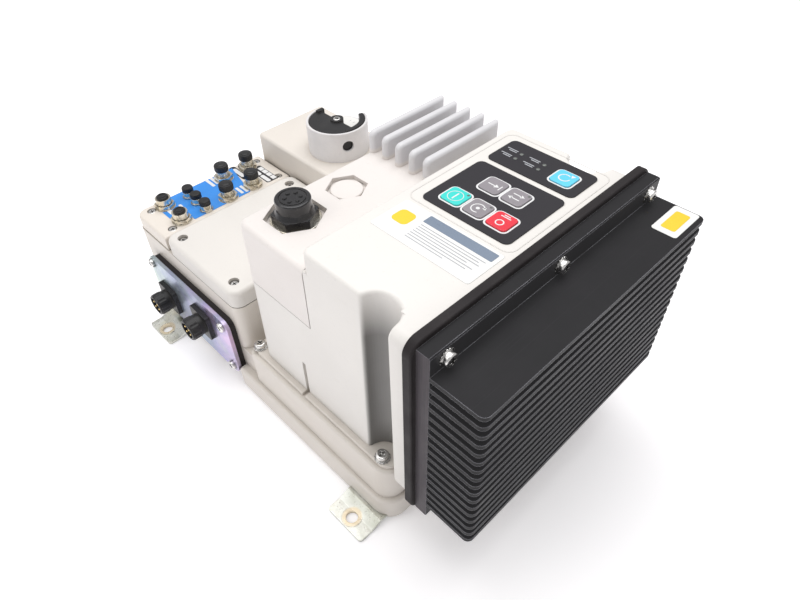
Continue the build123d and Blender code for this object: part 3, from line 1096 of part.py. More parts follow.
with BuildPart() as heat_sink_screws:
    head_x0 = SINK_X0 + SINK_PLATE
    for y, z in SINK_SCREWS:
        post_x(y, z, head_x0, head_x0 + 1.2, 4.9)
        post_x(y, z, head_x0 + 1.2, head_x0 + 4.4, M5_HEAD_R)
        post_x(y, z, FLANGE_X1 - 11.0, head_x0, M5_R - FIT)
    fillet(heat_sink_screws.faces().group_by(Axis.X)[-1].edges(), 1.2)
    for y, z in SINK_SCREWS:
        plate_x(y - 2.4, y + 2.4, z - 0.6, z + 0.6, head_x0 + 2.6, head_x0 + 4.4, mode=Mode.SUBTRACT)
        plate_x(y - 0.6, y + 0.6, z - 2.4, z + 2.4, head_x0 + 2.6, head_x0 + 4.4, mode=Mode.SUBTRACT)
heat_sink_screws.part.label = "heat_sink_screws"
export_step(heat_sink_screws.part, "parts/heat_sink_screws.step")

with BuildPart() as module_screws:
    for x, y in MODULE_SCREWS:
        post(x, y, COVER_Z0, COVER_Z0 + 1.2, 5.0)
        post(x, y, COVER_Z0 + 1.2, COVER_Z0 + 5.0, M5_HEAD_R)
        post(x, y, 38.0, COVER_Z0, M5_R - FIT)
    fillet(module_screws.faces().group_by(Axis.Z)[-1].edges(), 1.3)
    for x, y in MODULE_SCREWS:
        cross_slot(x, y, COVER_Z0 + 3.2, COVER_Z0 + 5.0, 4.8, 1.2)
module_screws.part.label = "module_screws"
export_step(module_screws.part, "parts/module_screws.step")

with BuildPart() as surface_labels:
    slab(85.0, 163.5, -51.0, -18.6, COVER_TOP_Z, COVER_TOP_Z + 0.2, 2.0)
    slab(202.5, 219.3, 74.0, 106.0 - 1.0, FIN_Z1, FIN_Z1 + 0.2, 2.0)
surface_labels.part.label = "surface_labels"
export_step(surface_labels.part, "parts/surface_labels.step")
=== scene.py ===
import json
import math

import bmesh
import bpy
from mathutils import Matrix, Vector


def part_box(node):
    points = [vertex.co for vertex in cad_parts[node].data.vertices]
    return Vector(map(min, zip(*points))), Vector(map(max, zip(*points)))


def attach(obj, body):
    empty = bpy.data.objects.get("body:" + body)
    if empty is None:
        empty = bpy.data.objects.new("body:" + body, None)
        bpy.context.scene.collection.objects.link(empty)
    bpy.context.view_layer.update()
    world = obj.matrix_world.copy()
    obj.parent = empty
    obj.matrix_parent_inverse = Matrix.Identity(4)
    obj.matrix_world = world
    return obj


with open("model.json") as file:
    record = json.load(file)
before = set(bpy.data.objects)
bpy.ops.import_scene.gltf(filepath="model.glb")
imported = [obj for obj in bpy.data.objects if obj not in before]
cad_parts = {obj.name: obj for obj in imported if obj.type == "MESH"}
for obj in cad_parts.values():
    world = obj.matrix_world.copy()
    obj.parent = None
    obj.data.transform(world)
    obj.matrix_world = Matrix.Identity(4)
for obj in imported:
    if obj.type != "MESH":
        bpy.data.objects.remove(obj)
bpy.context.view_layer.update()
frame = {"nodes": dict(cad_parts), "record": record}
nodes = frame["nodes"]

MM = 0.001


# ---------------------------------------------------------------- material graphs
class Graph:
    """A small wrapper that builds one node material."""

    def __init__(self, name):
        self.material = bpy.data.materials.new(name)
        self.material.use_nodes = True
        self.tree = self.material.node_tree
        self.tree.nodes.clear()
        self.output = self.add("ShaderNodeOutputMaterial")
        self.shader = self.add("ShaderNodeBsdfPrincipled")
        self.join(self.shader.outputs["BSDF"], self.output.inputs["Surface"])
        self.place = self.add("ShaderNodeTexCoord").outputs["Object"]

    def add(self, kind, **properties):
        node = self.tree.nodes.new(kind)
        for key, value in properties.items():
            setattr(node, key, value)
        return node

    def join(self, source, target):
        self.tree.links.new(source, target)

    def feed(self, target, value):
        """Sets a socket from a number, a colour or another socket."""
        if isinstance(value, bpy.types.NodeSocket):
            self.join(value, target)
        elif isinstance(value, (tuple, list)) and len(value) == 3 and target.type == "RGBA":
            target.default_value = (*value, 1.0)
        else:
            target.default_value = value

    def set(self, name, value):
        self.feed(self.shader.inputs[name], value)

    def stretch(self, scale):
        node = self.add("ShaderNodeMapping")
        self.join(self.place, node.inputs["Vector"])
        node.inputs["Scale"].default_value = scale
        return node.outputs["Vector"]

    def noise(self, scale, detail=3.0, rough=0.55, vector=None, distort=0.0):
        node = self.add("ShaderNodeTexNoise")
        self.join(vector or self.place, node.inputs["Vector"])
        node.inputs["Scale"].default_value = scale
        node.inputs["Detail"].default_value = detail
        node.inputs["Roughness"].default_value = rough
        node.inputs["Distortion"].default_value = distort
        return node.outputs["Fac"]

    def cells(self, scale, vector=None, feature="F1"):
        node = self.add("ShaderNodeTexVoronoi", feature=feature)
        self.join(vector or self.place, node.inputs["Vector"])
        node.inputs["Scale"].default_value = scale
        return node.outputs["Distance"]

    def span(self, value, low, high, to_low=0.0, to_high=1.0):
        node = self.add("ShaderNodeMapRange")
        self.feed(node.inputs["Value"], value)
        node.inputs["From Min"].default_value = low
        node.inputs["From Max"].default_value = high
        node.inputs["To Min"].default_value = to_low
        node.inputs["To Max"].default_value = to_high
        return node.outputs["Result"]

    def along(self, axis):
        """The object position along one axis, in metres."""
        node = self.add("ShaderNodeSeparateXYZ")
        self.join(self.place, node.inputs["Vector"])
        return node.outputs[axis]

    def mix(self, factor, first, second, blend="MIX"):
        node = self.add("ShaderNodeMix", data_type="RGBA", blend_type=blend)
        self.feed(node.inputs[0], factor)
        self.feed(node.inputs[6], first)
        self.feed(node.inputs[7], second)
        return node.outputs[2]

    def math(self, operation, first, second=0.0, clamp=False):
        node = self.add("ShaderNodeMath", operation=operation, use_clamp=clamp)
        self.feed(node.inputs[0], first)
        self.feed(node.inputs[1], second)
        return node.outputs[0]

    def ramp(self, value, stops):
        node = self.add("ShaderNodeValToRGB")
        self.join(value, node.inputs["Fac"])
        elements = node.color_ramp.elements
        while len(elements) > 1:
            elements.remove(elements[-1])
        elements[0].position = stops[0][0]
        elements[0].color = (*stops[0][1], 1.0)
        for position, colour in stops[1:]:
            elements.new(position).color = (*colour, 1.0)
        return node.outputs["Color"]

    def away_from(self, x, y):
        """The plan distance in metres from four upright axes at plus and minus x and y."""
        across = self.math("SUBTRACT", self.math("ABSOLUTE", self.along("X")), x)
        along = self.math("SUBTRACT", self.math("ABSOLUTE", self.along("Y")), y)
        squared = self.math("ADD", self.math("MULTIPLY", across, across), self.math("MULTIPLY", along, along))
        return self.math("SQRT", squared)

    def creases(self, reach, low=0.35, high=0.95):
        """1 in tight inside corners, 0 on open faces."""
        node = self.add("ShaderNodeAmbientOcclusion", samples=6)
        node.inputs["Distance"].default_value = reach
        return self.span(node.outputs["AO"], low, high, 1.0, 0.0)

    def edges(self, radius, low=0.02, high=0.16):
        """1 along sharp outside and inside edges, 0 elsewhere."""
        bevel = self.add("ShaderNodeBevel", samples=4)
        bevel.inputs["Radius"].default_value = radius
        geometry = self.add("ShaderNodeNewGeometry")
        dot = self.add("ShaderNodeVectorMath", operation="DOT_PRODUCT")
        self.join(bevel.outputs["Normal"], dot.inputs[0])
        self.join(geometry.outputs["Normal"], dot.inputs[1])
        bent = self.math("SUBTRACT", 1.0, dot.outputs["Value"])
        return self.span(bent, low, high)

    def bump(self, layers, radius=None):
        """Stacks bumps given as (height, distance in metres, strength), over a rounded edge normal."""
        normal = None
        if radius:
            bevel = self.add("ShaderNodeBevel", samples=4)
            bevel.inputs["Radius"].default_value = radius
            normal = bevel.outputs["Normal"]
        for height, distance, strength in layers:
            node = self.add("ShaderNodeBump")
            node.inputs["Distance"].default_value = distance
            node.inputs["Strength"].default_value = strength
            self.join(height, node.inputs["Height"])
            if normal:
                self.join(normal, node.inputs["Normal"])
            normal = node.outputs["Normal"]
        self.join(normal, self.shader.inputs["Normal"])


def enamel(name, colour, soil, rough=0.42, soil_amount=0.55, upper=None, hollow=None):
    """Sprayed enamel over a die casting: orange peel, faint cloudiness, handling marks, soiled corners,
    painted shade in tight creases and painted shade that darkens the paint towards the bottom.

    upper is (height in metres, colour): everything above that height is tinted by that colour.
    hollow is (|x|, |y|) in metres of the axes of upright hollows. Their shade is painted in by position.
    """
    g = Graph(name)
    cloud = g.noise(9.0, 4.0, 0.6)
    fine = g.noise(420.0, 3.0, 0.6)
    base = g.mix(g.span(cloud, 0.35, 0.7), colour, tuple(c * 0.95 for c in colour))
    base = g.mix(g.span(fine, 0.62, 0.74, 0.0, 0.25), base, tuple(c * 0.80 for c in colour))
    smear = g.noise(30.0, 5.0, 0.7, g.stretch((1.0, 0.35, 2.4)), 0.8)
    marks = g.span(smear, 0.60, 0.78, 0.0, 0.10)
    base = g.mix(marks, base, soil)
    corner = g.math("MULTIPLY", g.creases(0.007), g.span(g.noise(90.0, 4.0), 0.3, 0.7, 0.45, 1.0))
    base = g.mix(g.math("MULTIPLY", corner, soil_amount), base, soil)
    # painted shade: the paint is darker towards the bottom, standing in for less light reaching the lower
    # parts
    base = g.mix(g.span(g.along("Z"), 0.01, 0.16, 0.55, 0.0), base, tuple(c * 0.80 for c in colour))
    if hollow:
        inside = g.span(g.away_from(*hollow), 0.0142, 0.0160, 1.0, 0.0)
        leaning = g.span(g.along("X"), 0.130, 0.153, 0.96, 0.70)
        depth = g.math("MULTIPLY", inside, g.span(g.along("Z"), 0.172, 0.2045, 1.0, 0.0))
        base = g.mix(g.math("MULTIPLY", depth, leaning), base, tuple(c * 0.20 for c in colour))
    # painted shade: near-black darkening in tight creases and seams
    base = g.mix(g.creases(0.0022, 0.05, 0.42), base, (0.035, 0.032, 0.030))
    speck = g.cells(210.0)
    base = g.mix(g.span(speck, 0.0, 0.055, 0.35, 0.0), base, soil)
    if upper:
        height, tone = upper
        above = g.span(g.along("Z"), height, height + 0.003)
        base = g.mix(above, base, g.mix(1.0, base, tone, "MULTIPLY"))
    g.set("Base Color", base)
    g.set("Roughness", g.span(g.noise(55.0, 4.0), 0.3, 0.75, rough - 0.07, rough + 0.10))
    g.set("Coat Weight", 0.06)
    g.set("Coat Roughness", 0.30)
    g.bump([(g.noise(640.0, 2.0), 0.00008, 0.55), (g.noise(70.0, 3.0), 0.00025, 0.25)], 0.0005)
    return g.material


def metal(name, colour, rough, tint=None, grain=(1.0, 1.0, 1.0), grain_scale=600.0, film=None, holes=None,
          drift=None):
    """Bare or plated metal with fine directional grain, smudges, painted shade in tight creases and an
    optional coloured passivation film.

    holes is (|x|, |y|) in metres of four hole centres, each with a worn golden ring round it.
    drift is (from, to) in metres along X over which the film colours change.
    """
    g = Graph(name)
    lines = g.noise(grain_scale, 4.0, 0.65, g.stretch(grain))
    cloud = g.noise(60.0, 4.0, 0.6, distort=0.6)
    base = g.mix(g.span(cloud, 0.3, 0.72), colour, tint or tuple(c * 0.78 for c in colour))
    if film:
        tone = g.noise(16.0, 3.0, 0.5, g.stretch((1.0, 0.8, 1.6)), 1.4)
        if drift:
            sweep = g.span(g.along("X"), drift[0], drift[1], 0.12, 0.48)
            tone = g.math("ADD", g.math("MULTIPLY", tone, 0.45), sweep)
        colours = g.ramp(tone, film)
        base = g.mix(g.span(g.noise(24.0, 3.0, 0.55, distort=0.8), 0.3, 0.6, 0.45, 0.95), base, colours)
    if holes:
        ring = g.span(g.away_from(*holes), 0.0066, 0.0082, 1.0, 0.0)
        base = g.mix(g.math("MULTIPLY", ring, 0.6), base, (0.72, 0.56, 0.33))
    # painted shade: the metal is darker in tight creases
    base = g.mix(g.math("MULTIPLY", g.creases(0.003), 0.6), base, tuple(c * 0.25 for c in colour))
    g.set("Base Color", base)
    g.set("Metallic", 1.0)
    g.set("Roughness", g.span(lines, 0.3, 0.75, rough * 0.75, rough * 1.45))
    g.bump([(lines, 0.00003, 0.45), (cloud, 0.0001, 0.12)], 0.00035)
    return g.material


def moulding(name, colour, rough, texture=900.0, depth=0.00005, coat=0.0, worn=None, dust=0.06, sheen=0.4):
    """Moulded plastic or rubber: spark-eroded grain, tone drift, dust in corners, rubbed edges."""
    g = Graph(name)
    grain = g.noise(texture, 3.0, 0.6)
    cloud = g.noise(22.0, 4.0, 0.6)
    base = g.mix(g.span(cloud, 0.32, 0.72), colour, tuple(min(1.0, c * 1.18 + 0.004) for c in colour))
    base = g.mix(g.span(grain, 0.60, 0.78, 0.0, 0.35), base, tuple(c * 0.8 for c in colour))
    base = g.mix(g.math("MULTIPLY", g.creases(0.004), dust * 3.0), base, (0.40, 0.37, 0.33))
    if worn:
        edge_wear_and_highlight = g.math("MULTIPLY", g.edges(0.0004), g.span(g.noise(160.0, 4.0), 0.4, 0.65))
        base = g.mix(edge_wear_and_highlight, base, worn)
    settle = g.span(g.noise(45.0, 5.0, 0.7), 0.52, 0.75, 0.0, dust)
    base = g.mix(settle, base, (0.52, 0.49, 0.45))
    g.set("Base Color", base)
    g.set("Roughness", g.span(g.noise(38.0, 4.0), 0.3, 0.75, rough - 0.06, rough + 0.12))
    g.set("Specular IOR Level", sheen)
    g.set("Coat Weight", coat)
    g.set("Coat Roughness", 0.12)
    g.bump([(grain, depth, 0.5)], 0.0004)
    return g.material


def film_print(name, colour, rough=0.32, weave=1400.0, gloss=0.25, scuffed=0.16):
    """Screen print on film: fine ink mottle, slight gloss drift, faint scuffs."""
    g = Graph(name)
    ink = g.noise(weave, 2.0, 0.5)
    drift = g.noise(40.0, 4.0, 0.6)
    base = g.mix(g.span(ink, 0.35, 0.7), colour, tuple(c * 0.90 for c in colour))
    base = g.mix(g.span(drift, 0.4, 0.75, 0.0, 0.18), base, tuple(min(1.0, c * 1.10 + 0.01) for c in colour))
    scuff = g.noise(120.0, 5.0, 0.75, g.stretch((0.2, 3.0, 1.0)), 0.5)
    base = g.mix(g.span(scuff, 0.68, 0.80, 0.0, scuffed), base, (0.62, 0.60, 0.57))
    g.set("Base Color", base)
    g.set("Roughness", g.span(drift, 0.3, 0.75, rough - 0.08, rough + 0.12))
    g.set("Specular IOR Level", 0.35)
    g.set("Coat Weight", gloss)
    g.set("Coat Roughness", 0.18)
    g.bump([(ink, 0.00002, 0.35)], 0.00025)
    return g.material


def anodised(name):
    """Black anodised extrusion: die lines along Y, dusty bloom, sawn ends, and edges painted lighter in
    patches, partly as rubbed bare metal and partly as a painted highlight.

    A trace of emission lifts the black a little above what the lamps alone give.
    """
    g = Graph(name)
    die = g.noise(900.0, 4.0, 0.6, g.stretch((1.0, 0.012, 1.0)))
    bloom = g.noise(14.0, 5.0, 0.65, distort=0.5)
    base = g.mix(g.span(bloom, 0.3, 0.75), (0.008, 0.008, 0.009), (0.014, 0.013, 0.015))
    base = g.mix(g.span(die, 0.60, 0.76, 0.0, 0.5), base, (0.022, 0.021, 0.024))
    # painted highlight: patchy lighter edges stand in for the glint along the fin edges, together with edges
    # rubbed to bare metal
    edge_wear_and_highlight = g.math("MULTIPLY", g.edges(0.00055, 0.01, 0.06), g.span(g.noise(60.0, 4.0), 0.35, 0.6, 0.5, 1.0))
    base = g.mix(edge_wear_and_highlight, base, (0.30, 0.30, 0.33))
    reach = g.math("ABSOLUTE", g.along("Y"))
    sawn = g.math("MULTIPLY", g.span(reach, 0.1056, 0.1060), g.span(g.along("X"), 0.1874, 0.1876, 1.0, 0.0))
    saw_lines = g.noise(700.0, 3.0, 0.6, g.stretch((1.0, 1.0, 0.03)))
    bare = g.mix(g.span(saw_lines, 0.35, 0.7), (0.085, 0.072, 0.082), (0.135, 0.112, 0.128))
    base = g.mix(sawn, base, bare)
    g.set("Base Color", base)
    g.set("Specular IOR Level", 0.10)
    g.set("Emission Color", (0.98, 0.97, 1.0))
    g.set("Emission Strength", 0.016)
    g.set("Roughness", g.span(g.noise(30.0, 4.0), 0.3, 0.7, 0.36, 0.52))
    g.bump([(die, 0.00004, 0.5)], 0.0005)
    return g.material


def laminate(name, colour):
    """Circuit board: solder resist over tracks and pads."""
    g = Graph(name)
    tracks = g.cells(240.0, g.stretch((1.0, 0.3, 1.0)), "DISTANCE_TO_EDGE")
    pads = g.cells(310.0)
    base = g.mix(g.span(tracks, 0.04, 0.07, 1.0, 0.0), colour, tuple(c * 1.9 + 0.01 for c in colour))
    base = g.mix(g.span(pads, 0.10, 0.13, 1.0, 0.0), base, (0.66, 0.60, 0.42))
    g.set("Base Color", base)
    g.set("Metallic", g.span(pads, 0.10, 0.13, 0.9, 0.0))
    g.set("Roughness", g.span(g.noise(60.0, 4.0), 0.3, 0.7, 0.28, 0.45))
    g.bump([(tracks, 0.00006, 0.4)], 0.0003)
    return g.material


# colours shared by several finishes; a film is a list of (position, colour) stops
SOIL = (0.33, 0.28, 0.22)
STRAW_FILM = [
    (0.30, (0.42, 0.43, 0.35)),
    (0.42, (0.70, 0.69, 0.58)),
    (0.52, (0.80, 0.81, 0.76)),
    (0.62, (0.50, 0.51, 0.44)),
    (0.74, (0.34, 0.34, 0.27)),
]
VIOLET_FILM = [
    (0.32, (0.56, 0.64, 0.60)),
    (0.42, (0.42, 0.50, 0.54)),
    (0.52, (0.34, 0.38, 0.56)),
    (0.60, (0.50, 0.46, 0.74)),
    (0.70, (0.78, 0.58, 0.86)),
]

MATERIALS = {
    "cast_paint": enamel("cast_enamel", (0.745, 0.695, 0.635), SOIL),
    "lid_paint": enamel("lid_enamel", (0.755, 0.725, 0.685), SOIL),
    "panel_paint": enamel("panel_enamel", (0.785, 0.725, 0.655), SOIL),
    "cover_paint": enamel("cover_enamel", (0.785, 0.760, 0.725), SOIL, 0.40, 0.40, hollow=(0.1417, 0.0992)),
    "head_paint": enamel("head_enamel", (0.785, 0.742, 0.712), SOIL, 0.40, 0.25,
                         upper=(0.1912, (0.86, 0.90, 0.96))),
    "zinc": metal("passivated_zinc", (0.70, 0.70, 0.64), 0.30, grain_scale=380.0, film=STRAW_FILM,
                  holes=(0.133, 0.126)),
    "violet_zinc": metal("violet_zinc", (0.60, 0.66, 0.66), 0.34, grain_scale=380.0, film=VIOLET_FILM,
                         drift=(-0.150, -0.020)),
    "screw_steel": metal("bright_plating", (0.82, 0.81, 0.79), 0.20, grain_scale=1500.0),
    "nickel": metal("nickel_plating", (0.80, 0.72, 0.56), 0.22, (0.86, 0.84, 0.78), grain_scale=1300.0),
    "contact_gold": metal("gold_flash", (0.95, 0.72, 0.32), 0.18, grain_scale=1500.0),
    "shaft_steel": metal("turned_steel", (0.55, 0.54, 0.52), 0.28, grain=(1.0, 1.0, 0.05)),
    "dome_steel": metal("pressed_steel", (0.66, 0.66, 0.64), 0.25),
    "seal_rubber": moulding("seal_rubber", (0.014, 0.011, 0.012), 0.58, 700.0, 0.00010,
                            worn=(0.07, 0.06, 0.06), dust=0.02, sheen=0.25),
    "lead_black": moulding("cable_jacket", (0.025, 0.025, 0.028), 0.50, 500.0, 0.00012),
    "black_plastic": moulding("black_moulding", (0.010, 0.010, 0.011), 0.36, 900.0, 0.00006, 0.10,
                              worn=(0.12, 0.11, 0.11), dust=0.02, sheen=0.35),
    "black_gloss": moulding("black_gloss_moulding", (0.008, 0.008, 0.010), 0.24, 1100.0, 0.00003, 0.35,
                            worn=(0.10, 0.10, 0.10), dust=0.015, sheen=0.45),
    "guard_plastic": moulding("guard_moulding", (0.66, 0.645, 0.645), 0.40, 800.0, 0.00004, dust=0.03),
    "internal_grey": moulding("grey_moulding", (0.17, 0.18, 0.19), 0.48),
    "can_sleeve": moulding("shrink_sleeve", (0.04, 0.05, 0.09), 0.30, 600.0, 0.00005, 0.3),
    "key_teal": moulding("key_teal", (0.03, 0.62, 0.56), 0.36, 1100.0, 0.00003, 0.25, dust=0.02),
    "key_grey": moulding("key_grey", (0.255, 0.235, 0.255), 0.38, 1100.0, 0.00003, 0.25, dust=0.02),
    "key_red": moulding("key_red", (0.72, 0.022, 0.045), 0.36, 1100.0, 0.00003, 0.25, dust=0.02),
    "key_blue": moulding("key_blue", (0.10, 0.55, 0.76), 0.36, 1100.0, 0.00003, 0.25, dust=0.02),
    "led_lens": moulding("lens_dark", (0.10, 0.11, 0.10), 0.18, 1200.0, 0.00002, 0.6, dust=0.01),
    "label_blue": film_print("label_blue", (0.035, 0.270, 0.780)),
    "sticker_white": film_print("sticker_white", (0.86, 0.86, 0.84)),
    "dial_white": film_print("dial_white", (0.84, 0.83, 0.80)),
    "panel_black": film_print("panel_black", (0.017, 0.015, 0.020), 0.52, 1400.0, 0.0, 0.05),
    "board_green": laminate("board_green", (0.012, 0.085, 0.040)),
    "sink_black": anodised("black_anodising"),
    "print_white": film_print("print_white", (0.82, 0.82, 0.82)),
    "print_black": film_print("print_black", (0.022, 0.020, 0.024)),
    "print_grey": film_print("print_grey", (0.42, 0.43, 0.46)),
    "print_slate": film_print("print_slate", (0.20, 0.25, 0.33)),
    "print_amber": film_print("print_amber", (0.86, 0.62, 0.03)),
    "print_red": film_print("print_red", (0.66, 0.03, 0.03)),
    "print_green": film_print("print_green", (0.03, 0.36, 0.10)),
}

# ---------------------------------------------------------------- carried-over CAD nodes
slot_of = {entry["node"]: entry["material_slot"] for entry in frame["record"]["subparts"]}
# nodes whose finish differs a little from the rest of their slot
OWN_FINISH = {
    "terminal_lid": "lid_paint",
    "io_cover": "panel_paint",
    "io_cover_gasket": "panel_paint",
    "gland_plate": "violet_zinc",
    "motor_connector": "black_gloss",
    "motor_connector_cap": "black_gloss",
}
for name, obj in nodes.items():
    obj.data.materials.clear()
    obj.data.materials.append(MATERIALS[OWN_FINISH.get(name, slot_of[name])])


# ---------------------------------------------------------------- mesh helpers for new pieces
def rounded(cx, cy, width, height, radius, steps=6):
    """Points of a rounded rectangle, anticlockwise, in millimetres."""
    points = []
    for qx, qy, start in ((1, 1, 0), (-1, 1, 90), (-1, -1, 180), (1, -1, 270)):
        ox = cx + qx * (width / 2 - radius)
        oy = cy + qy * (height / 2 - radius)
        for step in range(steps + 1):
            angle = math.radians(start + 90.0 * step / steps)
            points.append((ox + radius * math.cos(angle), oy + radius * math.sin(angle)))
    return points


def circle(cx, cy, radius, steps=32):
    return [
        (cx + radius * math.cos(2 * math.pi * s / steps), cy + radius * math.sin(2 * math.pi * s / steps))
        for s in range(steps)
    ]


def arc_band(cx, cy, inner, outer, start, end, steps=20):
    """A curved band from start to end degrees, as one closed outline."""
    angles = [math.radians(start + (end - start) * s / steps) for s in range(steps + 1)]
    rim = [(cx + outer * math.cos(a), cy + outer * math.sin(a)) for a in angles]
    return rim + [(cx + inner * math.cos(a), cy + inner * math.sin(a)) for a in reversed(angles)]


def prism(bm, outline, z0, z1):
    """A closed flat prism over an outline."""
    low = [bm.verts.new((x * MM, y * MM, z0 * MM)) for x, y in outline]
    high = [bm.verts.new((x * MM, y * MM, z1 * MM)) for x, y in outline]
    bm.faces.new(list(reversed(low)))
    bm.faces.new(high)
    count = len(outline)
    for i in range(count):
        j = (i + 1) % count
        bm.faces.new((low[i], low[j], high[j], high[i]))


def frame_prism(bm, outer, inner, z0, z1):
    """A closed flat ring between two outlines of the same count."""
    rings = []
    for outline, z in ((outer, z0), (outer, z1), (inner, z1), (inner, z0)):
        rings.append([bm.verts.new((x * MM, y * MM, z * MM)) for x, y in outline])
    count = len(outer)
    for a in range(4):
        first, second = rings[a], rings[(a + 1) % 4]
        for i in range(count):
            j = (i + 1) % count
            bm.faces.new((first[i], first[j], second[j], second[i]))


def band(inner, outer, low, high):
    """The profile of a plain ring for lathe()."""
    return [(inner, low), (outer, low), (outer, high), (inner, high)]


def lathe(bm, profile, centre, axis="Z", steps=40, ripple=None):
    """A closed ring or solid of revolution; profile is a closed list of (radius, height)."""
    rings = []
    for s in range(steps):
        angle = 2 * math.pi * s / steps
        ring = []
        for index, (radius, height) in enumerate(profile):
            reach = radius + (ripple(index, s) if ripple else 0.0)
            a = reach * math.cos(angle)
            b = reach * math.sin(angle)
            place = {"Z": (a, b, height), "X": (height, a, b), "Y": (a, height, b)}[axis]
            ring.append(bm.verts.new([(c + p) * MM for c, p in zip(centre, place)]))
        rings.append(ring)
    count = len(profile)
    for s in range(steps):
        t = (s + 1) % steps
        for i in range(count):
            j = (i + 1) % count
            bm.faces.new((rings[s][i], rings[t][i], rings[t][j], rings[s][j]))


def piece(name, bm, material, body="drive", smooth_angle=35.0):
    """Finishes a mesh, gives it its material and hangs it on its CAD body."""
    bmesh.ops.remove_doubles(bm, verts=bm.verts, dist=1e-7)
    bmesh.ops.recalc_face_normals(bm, faces=bm.faces)
    mesh = bpy.data.meshes.new(name)
    bm.to_mesh(mesh)
    bm.free()
    mesh.polygons.foreach_set("use_smooth", [True] * len(mesh.polygons))
    mesh.set_sharp_from_angle(angle=math.radians(smooth_angle))
    obj = bpy.data.objects.new(name, mesh)
    bpy.context.scene.collection.objects.link(obj)
    mesh.materials.append(MATERIALS[material])
    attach(obj, body)
    return obj


def cut_round(obj, clearances, z0, z1):
    """Cuts round clearances, given as (x, y, radius), out of a printed field."""
    bm = bmesh.new()
    for x, y, radius in clearances:
        prism(bm, circle(x, y, radius), z0, z1)
    mesh = bpy.data.meshes.new("cutter")
    bm.to_mesh(mesh)
    bm.free()
    cutter = bpy.data.objects.new("cutter", mesh)
    bpy.context.scene.collection.objects.link(cutter)
    cut = obj.modifiers.new("clearance", "BOOLEAN")
    cut.object = cutter
    cut.operation = "DIFFERENCE"
    cut.solver = "EXACT"
    bpy.context.view_layer.objects.active = obj
    bpy.ops.object.modifier_apply(modifier=cut.name)
    bpy.data.objects.remove(cutter)


def middle(node):
    low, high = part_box(node)
    centre = (low + high) / (2 * MM)
    return centre.x, centre.y, high.z / MM


# ---------------------------------------------------------------- places of the small parts, in millimetres
TALL_SOCKETS = [(-162.5, -18.0), (-133.0, -32.0), (-162.5, 9.0), (-133.0, -5.0)]
LOW_SOCKETS = [(-162.5, -79.5), (-133.5, -79.5)]
SERVICE_SOCKETS = [(-160.5, -56.0), (-146.5, -56.0), (-131.5, -56.0)]
INLETS = [(-128.0, 39.5), (-68.0, 52.0)]
MODULE_SCREWS = [(x, y) for x in (-2.0, 139.9) for y in (-98.9, 98.9)]
SINK_SCREWS = [(y, z) for y in (-94.0, 0.0, 94.0) for z in (63.0, 203.5)]
DIAL = (-92.4, 68.4)
STATUS_ROWS = (71.5, 64.5)

# ---------------------------------------------------------------- keypad printing
INK = 0.06
KEY_NAMES = ["hand", "auto", "off", "jog", "direction", "reset"]
overlay_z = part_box("keypad_overlay_lower")[1].z / MM
key_low, key_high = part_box("hand_button")
key_size = (key_high.x - key_low.x) / MM - 1.8

bm = bmesh.new()
for key in KEY_NAMES:
    x, y, _ = middle(key + "_button")
    outer = rounded(x, y, key_size + 2.9, key_size + 2.9, 4.0)
    inner = rounded(x, y, key_size + 0.5, key_size + 0.5, 3.0)
    frame_prism(bm, outer, inner, overlay_z, overlay_z + INK)
piece("key_outlines", bm, "print_white")


def arrow_head(bm, tip, direction, size, z0, z1):
    angle = math.radians(direction)
    ahead = (math.cos(angle), math.sin(angle))
    across = (-ahead[1], ahead[0])
    base = (tip[0] - ahead[0] * size, tip[1] - ahead[1] * size)
    outline = [
        tip,
        (base[0] + across[0] * size * 0.62, base[1] + across[1] * size * 0.62),
        (base[0] - across[0] * size * 0.62, base[1] - across[1] * size * 0.62),
    ]
    prism(bm, outline, z0, z1)


def key_symbol(key, bm, x, y, z0, z1):
    """A plain function symbol printed on a key cap."""
    if key == "hand":
        prism(bm, rounded(x, y - 0.5, 1.1, 7.0, 0.5), z0, z1)
        frame_prism(bm, circle(x, y - 0.5, 5.4), circle(x, y - 0.5, 4.9), z0, z1)
    if key == "auto":
        prism(bm, arc_band(x, y - 0.5, 3.9, 4.7, 30, 300), z0, z1)
        arrow_head(bm, (x + 4.9, y + 0.6), 320, 2.4, z0, z1)
        prism(bm, circle(x, y - 0.5, 1.3, 20), z0, z1)
    if key == "off":
        frame_prism(bm, circle(x, y - 2.2, 2.9), circle(x, y - 2.2, 2.1), z0, z1)
        prism(bm, rounded(x, y + 4.0, 7.4, 0.8, 0.3), z0, z1)
        prism(bm, rounded(x, y + 5.6, 4.6, 0.8, 0.3), z0, z1)
    if key == "jog":
        prism(bm, rounded(x - 1.6, y, 5.6, 0.9, 0.4), z0, z1)
        arrow_head(bm, (x + 4.2, y), 0, 3.2, z0, z1)
        prism(bm, rounded(x + 5.2, y, 0.8, 5.2, 0.3), z0, z1)
    if key == "direction":
        prism(bm, rounded(x - 0.6, y + 2.0, 6.4, 0.9, 0.4), z0, z1)
        arrow_head(bm, (x + 4.8, y + 2.0), 0, 2.8, z0, z1)
        prism(bm, rounded(x + 0.6, y - 2.4, 6.4, 0.9, 0.4), z0, z1)
        arrow_head(bm, (x - 4.8, y - 2.4), 180, 2.8, z0, z1)
    if key == "reset":
        prism(bm, arc_band(x, y, 3.4, 4.3, 60, 360), z0, z1)
        arrow_head(bm, (x + 2.1, y + 5.2), 150, 2.9, z0, z1)


